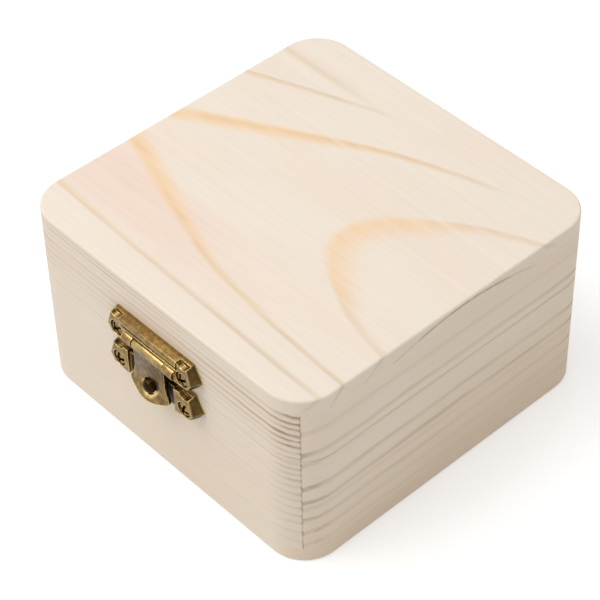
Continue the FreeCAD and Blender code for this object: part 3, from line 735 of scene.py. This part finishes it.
def arch_bands(wiring, groups, grain, lines):
    """Late wood of a panel's arched year lines together, and how much of it is grey."""
    off_middle = wiring.math("ABSOLUTE", grain["Off middle"])
    bands = 0.0
    greyed = 0.0
    for line in lines:
        shape = line.shape
        arch = wiring.group(groups["arch"], "Year arch", {
            "Off middle": grain["Off middle"], "Run": grain["Run"], "Crown": line.crown,
            "Slope": shape.slope, "Blunt": shape.blunt, "Straight": shape.straight,
            "Flatten": shape.flatten,
        })
        narrowing = wiring.spread(off_middle, ARM_START, line.thin, 1.0, ARM_WIDTH, "Thinner arms")
        past = wiring.math("DIVIDE", arch["Past"], narrowing)
        on_side = wiring.math("MULTIPLY", grain["Off middle"], shape.side)
        shown = wiring.spread(on_side, *SIDE_END, 0.0, line.strength, "On its side")
        rise = wiring.spread(past, -line.comes_on, 0.0, label="Comes on")
        fall = wiring.spread(past, 0.0, line.ends, 1.0, 0.0, "Ends")
        band = wiring.math("MULTIPLY", wiring.math("MULTIPLY", rise, shown), fall)
        bands = wiring.math("ADD", band, bands)
        grey_from = GREY_START * line.thin
        grey_to = GREY_END * line.thin
        greyness = wiring.spread(off_middle, grey_from, grey_to, 0.0, ARM_GREY, "Greyer arms")
        greyed = wiring.math("MULTIPLY_ADD", band, greyness, greyed)
    return bands, greyed


def lone_streak(wiring, along, across, panel):
    """A straight streak that starts at a panel's left end and soon ends."""
    off_streak = wiring.math("ABSOLUTE", wiring.math("SUBTRACT", across, panel.streak_place))
    streak = wiring.spread(off_streak, 0.0, STREAK_WIDTH, panel.streak_strength, 0.0, "Lone streak")
    ending = wiring.spread(along, *STREAK_END, 1.0, 0.0, "Streak ends")
    return wiring.math("MULTIPLY", streak, ending)


def long_edge_bands(wiring, place, groups, edge_lines):
    """Straight year lines on a panel's front and back edges, fading towards its right-hand end."""
    along, _, _ = wiring.split(place, "Along")
    _, forward, _ = own_facing(wiring)
    on_edge = wiring.spread(wiring.math("ABSOLUTE", forward), *LONG_EDGE_FACING, label="On a long edge")
    fade = wiring.spread(along, *EDGE_FADE, label="Fade to the right")
    grain = wiring.group(groups["straight"], "Edge grain", {
        "Place": place, "Wander": EDGE_WANDER, "Feather": EDGE_FEATHER, "Lean": 0.0,
    })
    bands = 0.0
    for depth, strength in edge_lines:
        off_line = wiring.math("ABSOLUTE", wiring.math("SUBTRACT", grain["Height"], depth))
        band = wiring.spread(off_line, 0.0, EDGE_LINE_WIDTH, strength, 0.0, "Edge line")
        bands = wiring.math("ADD", band, bands)
    return wiring.math("MULTIPLY", wiring.math("MULTIPLY", on_edge, fade), bands)


def flushed_patch(wiring, along, across, on_edge):
    """Where a panel's face is flushed with pink, most of all at its left."""
    from_patch = wiring.math("ABSOLUTE", wiring.math("SUBTRACT", across, FLUSH_PLACE))
    patch = wiring.spread(from_patch, *FLUSH_EDGE, label="Flushed patch")
    leftmost = wiring.spread(along, *FLUSH_FADE, label="Most at the left")
    on_face = wiring.math("SUBTRACT", 1.0, on_edge)
    return wiring.math("MULTIPLY", wiring.math("MULTIPLY", patch, leftmost), on_face)


def grain_panel(slot, groups, look):
    """Flat-sawn pine: arched year lines, wide and warm at the crown, thin and grey along the arms."""
    panel = PANELS[slot]
    wiring, shader = new_finish(slot)
    place = own_place(wiring, panel.turn, panel.shift)
    along, across, depth = wiring.split(place, "Along, across, depth")
    _, _, upward = own_facing(wiring)
    on_edge = wiring.spread(wiring.math("ABSOLUTE", upward), *EDGE_FACING, label="On the board's edge")
    grain = wiring.group(groups["cathedral"], "Grain", {
        "Place": place, "Drift": panel.drift, "Offset": panel.offset,
        "Wander": look.wander * PANEL_WANDER,
    })
    bands, greyed = arch_bands(wiring, groups, grain, panel.lines)
    to_back = wiring.math("MULTIPLY_ADD", along, BACK_SLANT, grain["Off middle"])
    fade = wiring.spread(to_back, *BACK_FADE, label="Fade to the back")
    streak = lone_streak(wiring, along, across, panel)
    late = wiring.math("MULTIPLY_ADD", bands, fade, streak)
    grey_streak = wiring.math("MULTIPLY", streak, STREAK_GREY)
    grey_late = wiring.math("MULTIPLY_ADD", greyed, fade, grey_streak)
    grey_share = wiring.math("DIVIDE", grey_late, wiring.math("MAXIMUM", late, LEAST_LATE))
    greying = wiring.math("MAXIMUM", grey_share, on_edge)
    below = wiring.spread(depth, *DEPTH_FADE, label="Fade below")
    edges = long_edge_bands(wiring, place, groups, panel.edge_lines)
    tan_across = wiring.spread(along, *TAN_PLACES, panel.tan_left, panel.tan_right, "Tan to the right")
    tan = wiring.math("MAXIMUM", wiring.math("MULTIPLY", on_edge, EDGE_TAN), tan_across)
    surface = wiring.group(groups["surface"], "Sanded pine", {
        "Place": place,
        "Late wood": wiring.math("MULTIPLY_ADD", late, below, edges),
        "End grain": 0.0,
        "Flush": flushed_patch(wiring, along, across, on_edge),
        "Early colour": wiring.mix(tan, look.early_wood, look.tan_wood),
        "Blush": wiring.mix(tan, look.blush, look.tan_wood),
        "Warm colour": wiring.mix(greying, look.warm_wood, look.sawn_wood),
        "Late colour": wiring.mix(greying, look.late_wood, look.grey_wood),
    })
    finish_pine(wiring, shader, surface, look)


# Brass

# Noise in the brass, in cells per millimetre, and the detail and roughness of its mottle
MOTTLE_CELLS = (0.55, 0.55, 0.55)
SPECK_CELLS = (2.4, 2.4, 2.4)
RUB_CELLS = (0.9, 0.9, 0.9)
MOTTLED = (4.0, 0.65)

# Smooth steps of aged brass, in the order that Wiring.spread takes them
RECESS_STEP = (0.4, 0.9, 1.0, 0.0)
CLOUDED_STEP = (0.45, 0.68, 0.0, 0.38)
POLISH_STEP = (0.56, 0.36, 0.0, 0.2)
RUB_STEP = (0.3, 0.55, 0.6, 1.0)
BARE_STEP = (0.3, 0.7)

# Roughness and height of aged brass, and what specks, tarnish with painted shade, and bare metal add to
# them
BRASS_ROUGHNESS = 0.2
SPECK_ROUGHNESS = 0.16
TARNISH_ROUGHNESS = 0.2
BARE_ROUGHNESS = -0.12
SPECK_RISE = 0.5
CAST_BUMP = 0.35


def antique_brass_group():
    """Brass with brown patina in its recesses, painted shade where its Shade input asks for it, and bare
    metal along its edges.
    """
    tree, wiring, given, made = new_group(
        "Antique brass",
        {
            "Vector": ("Place",),
            "Float": ("Open", "Edge", "Shade"),
            "Color": ("Patina", "Metal", "Worn"),
        },
        {"Color": ("Colour",), "Float": ("Roughness", "Height")},
    )
    place = given["Place"]
    mottle = wiring.noise(place, MOTTLE_CELLS, *MOTTLED, label="Mottle")
    speck = wiring.noise(place, SPECK_CELLS, *FINE, label="Speck")
    rub = wiring.noise(place, RUB_CELLS, *FINE, label="Rub")
    recess = wiring.spread(given["Open"], *RECESS_STEP, label="Recess")
    # Patina in the recesses and the painted shade given in Shade both darken the brass to the patina
    # colour
    patina_and_shade = wiring.math("MAXIMUM", recess, given["Shade"])
    bright = wiring.math("SUBTRACT", 1.0, patina_and_shade, clamp=True)
    clouded = wiring.spread(mottle, *CLOUDED_STEP, label="Clouded")
    tarnish_and_shade = wiring.math("MULTIPLY_ADD", clouded, bright, patina_and_shade, clamp=True)
    polish = wiring.math("MULTIPLY", wiring.spread(rub, *POLISH_STEP), given["Open"])
    cleaned = wiring.mix(polish, given["Metal"], given["Worn"], "Polished by handling")
    body = wiring.mix(tarnish_and_shade, cleaned, given["Patina"], "Tarnished and shaded")
    rubbed = wiring.math("MULTIPLY", given["Edge"], wiring.spread(rub, *RUB_STEP))
    bare = wiring.math("MULTIPLY", rubbed, wiring.spread(given["Open"], *BARE_STEP), clamp=True)
    wiring.feed(made["Colour"], wiring.mix(bare, body, given["Worn"], "Rubbed edges"))
    specked = wiring.math("MULTIPLY_ADD", speck, SPECK_ROUGHNESS, BRASS_ROUGHNESS)
    dull = wiring.math("MULTIPLY_ADD", tarnish_and_shade, TARNISH_ROUGHNESS, specked)
    wiring.feed(made["Roughness"], wiring.math("MULTIPLY_ADD", bare, BARE_ROUGHNESS, dull))
    wiring.feed(made["Height"], wiring.math("MULTIPLY_ADD", speck, SPECK_RISE, mottle))
    return tree


# Painted shade on faces that look sideways, on faces that look out to the front, and in a screw's cross
FLANK_STEP = (0.3, 0.6, 0.0, 0.8)
FRONT_STEP = (-0.6, -0.95, 0.0, 0.32)
CROSS_STEP = (0.6, 0.9, 0.95, 0.2)

# How much of the painted sideways shade the hinges have
HINGE_SHADE = 0.5

# Half the width of the strap behind the tongue, how far its painted shade takes to end, and how dark
# that painted shade is
STRAP_HALF = 7.6
SHELTER_EDGE = 0.5
STRAP_PAINTED_SHADE = 0.9

# The tongue's hole, and the bright ring round it, most of all below: brass rubbed by the stud, and a
# painted highlight
HOLE_HEIGHT = 27.3
HOLE_RADIUS = 2.1
HOLE_STEP = (HOLE_RADIUS, HOLE_RADIUS + 0.9, 0.85, 0.0)
BELOW_STEP = (HOLE_RADIUS / 2, -HOLE_RADIUS / 2)

# Heights on the tongue between which its lip's colour ends, and the bright metal of its barrel begins:
# rubbed brass and a painted highlight
TONGUE_FOOT = tongue_low.z * MILLIMETRES
LIP_END = (TONGUE_FOOT + 3, TONGUE_FOOT + 9)
BARREL_THICK = 2.7
BARREL_FOOT = tongue_high.z * MILLIMETRES - BARREL_THICK
BARREL_STEP = (BARREL_FOOT - 0.2, BARREL_FOOT + 0.3, 0.0, 0.45)


def painted_flank_shade(wiring):
    """Painted shade on faces that look sideways."""
    sideways, _, _ = own_facing(wiring)
    return wiring.spread(wiring.math("ABSOLUTE", sideways), *FLANK_STEP, label="Flank")


def painted_face_shade(wiring):
    """Painted shade on faces that look sideways, with a little on those that look out to the front."""
    _, inward, _ = own_facing(wiring)
    return wiring.math("ADD", painted_flank_shade(wiring), wiring.spread(inward, *FRONT_STEP, label="Front"))


def clasp_finish(wiring, look):
    """The clasp's plates: painted shade, deep behind the tongue and on the stud, light where they face
    out.
    """
    across, _, height = wiring.split(own_place(wiring), "Across, out, height")
    reach = wiring.math("ABSOLUTE", across)
    strap_end = (STRAP_HALF - SHELTER_EDGE, STRAP_HALF)
    # Painted shade on the strap and the stud, where the tongue shades them
    behind = wiring.spread(reach, *strap_end, STRAP_PAINTED_SHADE, 0.0, "Behind the tongue")
    on_box = wiring.spread(height, SEAM_HEIGHT - SHELTER_EDGE, SEAM_HEIGHT, 1.0, 0.0, "On the box")
    return look.metal, wiring.math("MULTIPLY_ADD", behind, on_box, painted_face_shade(wiring))


def tongue_finish(wiring, look):
    """The tongue: brown leaf and olive lip painted lighter, with rubbed brass and painted highlights on
    barrel and ring.
    """
    across, _, height = wiring.split(own_place(wiring), "Across, out, height")
    # A bright ring round the hole, most of all below the stud: rubbed brass and a painted highlight
    level = wiring.math("SUBTRACT", height, HOLE_HEIGHT)
    level_square = wiring.math("MULTIPLY", level, level)
    from_hole = wiring.math("SQRT", wiring.math("MULTIPLY_ADD", across, across, level_square))
    ring = wiring.spread(from_hole, *HOLE_STEP, label="Round the hole")
    below = wiring.spread(level, *BELOW_STEP, label="Below the stud")
    rubbed = wiring.math("MULTIPLY", ring, below)
    # The lip's olive brass is painted lighter where it faces up
    upper = wiring.spread(height, *LIP_END, label="Up the leaf")
    leaf = wiring.mix(upper, look.lit_lip_metal, look.tongue_metal)
    # The barrel is painted bright: rubbed brass and a painted highlight
    barrel_rub_and_highlight = wiring.spread(height, *BARREL_STEP, label="On the barrel")
    metal = wiring.mix(wiring.math("MAXIMUM", barrel_rub_and_highlight, rubbed), leaf, look.worn)
    return metal, wiring.math("SUBTRACT", painted_face_shade(wiring), rubbed, clamp=True)


def hinge_finish(wiring, look):
    """The hinges: even brass with a little painted shade on their ends."""
    return look.metal, wiring.math("MULTIPLY", painted_flank_shade(wiring), HINGE_SHADE)


def screw_finish(wiring, look):
    """The screws: brass heads with painted shade on the walls of their crosses and on their sides."""
    _, inward, _ = own_facing(wiring)
    # Painted shade on faces that turn away from the front: the cross's walls and the head's sides
    squarely = wiring.math("ABSOLUTE", inward)
    return look.metal, wiring.spread(squarely, *CROSS_STEP, label="Dark in the cross")


class Ageing(NamedTuple):
    """How one kind of brass fitting has aged."""

    # Gives the metal's colour and the painted shade on open faces
    finish: Callable
    # How open a place is that holds the most patina, and the least
    sheltered: float
    exposed: float
    # How wide the worn edges are, as a share of the worn reach
    worn_share: float


BRASSES = {
    "clasp_brass": Ageing(clasp_finish, 0.05, 0.72, 1.25),
    "tongue_brass": Ageing(tongue_finish, 0.1, 1.0, 0.7),
    "hinge_brass": Ageing(hinge_finish, 0.1, 1.0, 1.0),
    "screw_brass": Ageing(screw_finish, 0.55, 1.05, 0.3),
}

# How well the rounded normal agrees with the real one, off an edge and on it
EDGE_STEP = (0.98, 0.84)

# Samples that look for edges and for recesses
EDGE_SAMPLES = 6
RECESS_SAMPLES = 8


def age_brass(slot, aged_brass, look):
    """Cast brass, aged brown, read from the piece's own recesses and edges."""
    ageing = BRASSES[slot]
    wiring, shader = new_finish(slot)
    shelter = wiring.node(
        "ShaderNodeAmbientOcclusion", "Shelter", samples=RECESS_SAMPLES, only_local=True
    )
    wiring.feed(shelter.inputs["Distance"], look.recess_reach)
    openness = wiring.spread(shelter.outputs["AO"], ageing.sheltered, ageing.exposed, label="Openness")
    rounded = wiring.node("ShaderNodeBevel", "Rounded normal", samples=EDGE_SAMPLES)
    wiring.feed(rounded.inputs["Radius"], look.worn_reach * ageing.worn_share)
    real_normal = wiring.node("ShaderNodeNewGeometry", "Surface").outputs["Normal"]
    agreement = wiring.vector_math("DOT_PRODUCT", rounded.outputs["Normal"], real_normal)
    edge = wiring.spread(agreement, *EDGE_STEP, label="Edge")
    # The finish gives painted shade, and on the tongue painted highlights in the metal too
    metal, shade = ageing.finish(wiring, look)
    surface = wiring.group(aged_brass, "Aged surface", {
        "Place": own_place(wiring), "Open": openness, "Edge": edge, "Shade": shade,
        "Patina": look.patina, "Metal": metal, "Worn": look.worn,
    })
    bump = wiring.node("ShaderNodeBump", "Cast skin")
    wiring.feed_all(bump, {
        "Strength": CAST_BUMP, "Distance": look.cast_skin, "Height": surface["Height"],
    })
    wiring.feed_all(shader, {
        "Base Color": surface["Colour"], "Metallic": 1.0, "Roughness": surface["Roughness"],
        "Normal": bump.outputs["Normal"],
    })


# Pieces

# Points nearer than this are one, in metres, and the angles of a flat joint and of a sharp edge
WELD = 1e-6
FLAT = math.radians(1)
SHARP = math.radians(28)
ROUNDING_SEGMENTS = 2

# How much of the edge round each kind of piece has
CAST_ROUND = {"clasp_hinge_plate": 1.0, "clasp_catch_plate": 1.2, "clasp_tongue": 0.5}
PRESSED_ROUND = 1.2
TURNED_ROUND = 0.6


def dress(piece, slot):
    """Give a piece the one material of its slot."""
    piece.data.materials.clear()
    piece.data.materials.append(bpy.data.materials[finish_name(slot)])


def select_only(piece):
    bpy.ops.object.select_all(action="DESELECT")
    piece.select_set(True)
    bpy.context.view_layer.objects.active = piece


def round_copy(node, name, edge_round):
    """A copy of a CAD node, welded, with every sharp edge rounded, that takes the node's place."""
    piece = bpy.data.objects.new(name, frame["nodes"][node].data.copy())
    bpy.context.scene.collection.objects.link(piece)
    select_only(piece)
    bpy.ops.mesh.customdata_custom_splitnormals_clear()
    bpy.ops.object.mode_set(mode="EDIT")
    bpy.ops.mesh.select_all(action="SELECT")
    bpy.ops.mesh.remove_doubles(threshold=WELD)
    bpy.ops.mesh.dissolve_limited(angle_limit=FLAT)
    bpy.ops.object.mode_set(mode="OBJECT")
    rounding = piece.modifiers.new("Rounded edges", "BEVEL")
    rounding.width = edge_round
    rounding.segments = ROUNDING_SEGMENTS
    rounding.limit_method = "ANGLE"
    rounding.angle_limit = SHARP
    rounding.use_clamp_overlap = False
    bpy.ops.object.modifier_apply(modifier=rounding.name)
    bpy.ops.object.shade_smooth_by_angle(angle=SHARP)
    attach(piece, BODY_OF_NODE[node])
    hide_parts(node)
    dress(piece, SLOT_OF_NODE[node])


class HINGEDBOX_OT_grain_boards(bpy.types.Operator):
    """Grain the walls, rails and panels as sanded pine"""

    bl_idname = "hingedbox.grain_boards"
    bl_label = "Grain the Boards"

    def execute(self, context):
        look = context.scene.pine_look
        groups = {
            "straight": straight_grain_group(),
            "cathedral": cathedral_group(),
            "arch": year_arch_group(),
            "surface": pine_surface_group(),
        }
        for slot in WALLS:
            grain_wall(slot, groups, look)
        for slot in PANELS:
            grain_panel(slot, groups, look)
        for slot in (*WALLS, *PANELS):
            for node in nodes_of(slot):
                dress(frame["nodes"][node], slot)
        return {"FINISHED"}


class HINGEDBOX_OT_mix_brass(bpy.types.Operator):
    """Mix the aged brass of the clasp, hinges and screws"""

    bl_idname = "hingedbox.mix_brass"
    bl_label = "Mix the Brass"

    def execute(self, context):
        look = context.scene.brass_look
        aged_brass = antique_brass_group()
        for slot in BRASSES:
            age_brass(slot, aged_brass, look)
        return {"FINISHED"}


class HINGEDBOX_OT_cast_clasp(bpy.types.Operator):
    """Cast the clasp's two plates and its tongue, and finish its pin"""

    bl_idname = "hingedbox.cast_clasp"
    bl_label = "Cast the Clasp"

    def execute(self, context):
        look = context.scene.brass_look
        for node, share in CAST_ROUND.items():
            round_copy(node, f"{node}_cast", look.edge_round * share)
        dress(frame["nodes"]["clasp_pin"], SLOT_OF_NODE["clasp_pin"])
        return {"FINISHED"}


class HINGEDBOX_OT_fit_hinges(bpy.types.Operator):
    """Fit the leaves and pins of the two hinges"""

    bl_idname = "hingedbox.fit_hinges"
    bl_label = "Fit the Hinges"

    def execute(self, context):
        look = context.scene.brass_look
        for node in nodes_of("hinge_brass"):
            round_copy(node, f"{node}_pressed", look.edge_round * PRESSED_ROUND)
        return {"FINISHED"}


class HINGEDBOX_OT_drive_screws(bpy.types.Operator):
    """Drive the cross-head screws of the clasp and the hinges"""

    bl_idname = "hingedbox.drive_screws"
    bl_label = "Drive the Screws"

    def execute(self, context):
        look = context.scene.brass_look
        for node in nodes_of("screw_brass"):
            round_copy(node, f"{node}_turned", look.edge_round * TURNED_ROUND)
        return {"FINISHED"}


# Stage

SENSOR_MILLIMETRES = 36.0
SOFTBOX_PLACE = Vector((-0.28, -0.35, 0.88))
WHITE = (1.0, 1.0, 1.0)

# The floor in metres: it is wide, lies a hair below the box, and turns plain white away from it
FLOOR_SIZE = 40.0
FLOOR_GAP = 0.00005
FLOOR_NEAR = 0.15
FLOOR_FAR = 0.5

# The floor's paper, as it lights the box and as the camera sees it
PAPER_LIGHTING = paint(230, 228, 224)
PAPER_SEEN = paint(235, 235, 235)


def set_camera(look):
    """A camera at the viewing angle of the photograph."""
    data = bpy.data.cameras.new("Camera")
    data.lens = look.focal_length
    data.sensor_width = SENSOR_MILLIMETRES
    data.shift_x = look.shift_x
    data.shift_y = look.shift_y
    camera = bpy.data.objects.new("Camera", data)
    bpy.context.scene.collection.objects.link(camera)
    sideways = math.sin(look.azimuth) * math.cos(look.elevation)
    forward = math.cos(look.azimuth) * math.cos(look.elevation)
    back = Vector((sideways, -forward, math.sin(look.elevation)))
    right = Vector((math.cos(look.azimuth), math.sin(look.azimuth), 0))
    up = back.cross(right)
    leaning_right = right * math.cos(look.roll) + up * math.sin(look.roll)
    leaning_up = up * math.cos(look.roll) - right * math.sin(look.roll)
    target = Vector((0, 0, top_corner.z / 2))
    turn = Matrix((leaning_right, leaning_up, back)).transposed().to_4x4()
    camera.matrix_world = Matrix.Translation(target + back * look.distance) @ turn
    bpy.context.scene.camera = camera


def seen_ray(wiring):
    """1 for rays on which the camera sees the background, straight or in a shiny surface."""
    path = wiring.node("ShaderNodeLightPath", "Ray")
    shiny = wiring.math("MAXIMUM", path.outputs["Is Glossy Ray"], path.outputs["Is Transmission Ray"])
    return wiring.math("MAXIMUM", path.outputs["Is Camera Ray"], shiny)


def set_sky(look):
    """Even white light, and plain white where the camera looks past the floor."""
    world = bpy.data.worlds.new("Studio")
    bpy.context.scene.world = world
    wiring = fresh_wiring(world)
    background = wiring.node("ShaderNodeBackground", "White")
    strength = wiring.math("MAXIMUM", seen_ray(wiring), look.sky)
    wiring.feed_all(background, {"Color": WHITE, "Strength": strength})
    output = wiring.node("ShaderNodeOutputWorld", "Output")
    wiring.feed(output.inputs["Surface"], background.outputs["Background"])


def set_floor(look):
    """A white floor that keeps the shadow of the box."""
    bpy.ops.object.select_all(action="DESELECT")
    bpy.ops.mesh.primitive_plane_add(size=FLOOR_SIZE, location=(0, 0, -FLOOR_GAP))
    floor = bpy.context.object
    floor.name = "floor"
    material = bpy.data.materials.new("white_floor")
    wiring = fresh_wiring(material)
    paper = wiring.node("ShaderNodeBsdfDiffuse", "Paper")
    seen = seen_ray(wiring)
    wiring.feed(paper.inputs["Color"], wiring.mix(seen, PAPER_LIGHTING, PAPER_SEEN))
    place = wiring.node("ShaderNodeTexCoord", "Where").outputs["Object"]
    distance = wiring.vector_math("LENGTH", place, label="From the box")
    whitening = wiring.spread(distance, FLOOR_NEAR, FLOOR_FAR, look.floor_glow, 1.0, "White far away")
    glow = wiring.node("ShaderNodeEmission", "Glow")
    wiring.feed(glow.inputs["Strength"], wiring.math("MULTIPLY", seen, whitening))
    both = wiring.node("ShaderNodeAddShader", "Paper and glow")
    wiring.feed(both.inputs[0], paper.outputs["BSDF"])
    wiring.feed(both.inputs[1], glow.outputs["Emission"])
    output = wiring.node("ShaderNodeOutputMaterial", "Output")
    wiring.feed(output.inputs["Surface"], both.outputs["Shader"])
    floor.data.materials.append(material)


def set_softbox(look):
    """One large lamp above the front left."""
    data = bpy.data.lights.new("Softbox", "AREA")
    data.energy = look.softbox_power
    data.size = look.softbox_size
    lamp = bpy.data.objects.new("Softbox", data)
    bpy.context.scene.collection.objects.link(lamp)
    lamp.location = SOFTBOX_PLACE
    lamp.rotation_euler = SOFTBOX_PLACE.to_track_quat("Z", "Y").to_euler()


class HINGEDBOX_OT_set_stage(bpy.types.Operator):
    """Set the camera, the floor and the light of a white studio"""

    bl_idname = "hingedbox.set_stage"
    bl_label = "Set the Stage"

    def execute(self, context):
        look = context.scene.stage_look
        context.scene.view_settings.view_transform = "Standard"
        set_camera(look)
        set_sky(look)
        set_floor(look)
        set_softbox(look)
        return {"FINISHED"}


# The add-on

LOOKS = {"pine_look": PineLook, "brass_look": BrassLook, "stage_look": StageLook}
STEPS = (
    HINGEDBOX_OT_grain_boards,
    HINGEDBOX_OT_mix_brass,
    HINGEDBOX_OT_cast_clasp,
    HINGEDBOX_OT_fit_hinges,
    HINGEDBOX_OT_drive_screws,
    HINGEDBOX_OT_set_stage,
)


class HINGEDBOX_PT_sidebar(bpy.types.Panel):
    """The steps that finish the box, and the looks that they use"""

    bl_idname = "HINGEDBOX_PT_sidebar"
    bl_label = "Hinged Pine Box"
    bl_space_type = "VIEW_3D"
    bl_region_type = "UI"
    bl_category = "Pine Box"

    def draw(self, context):
        for step in STEPS:
            self.layout.operator(step.bl_idname)
        for name, look in LOOKS.items():
            column = self.layout.column()
            for setting in look.__annotations__:
                column.prop(getattr(context.scene, name), setting)


CLASSES = (*LOOKS.values(), *STEPS, HINGEDBOX_PT_sidebar)


def register():
    for kind in CLASSES:
        bpy.utils.register_class(kind)
    for name, look in LOOKS.items():
        setattr(bpy.types.Scene, name, bpy.props.PointerProperty(type=look))


def unregister():
    for name in LOOKS:
        delattr(bpy.types.Scene, name)
    for kind in reversed(CLASSES):
        bpy.utils.unregister_class(kind)


def main():
    register()
    bpy.ops.hingedbox.grain_boards()
    bpy.ops.hingedbox.mix_brass()
    bpy.ops.hingedbox.cast_clasp()
    bpy.ops.hingedbox.fit_hinges()
    bpy.ops.hingedbox.drive_screws()
    bpy.ops.hingedbox.set_stage()


if __name__ == "__main__":
    main()
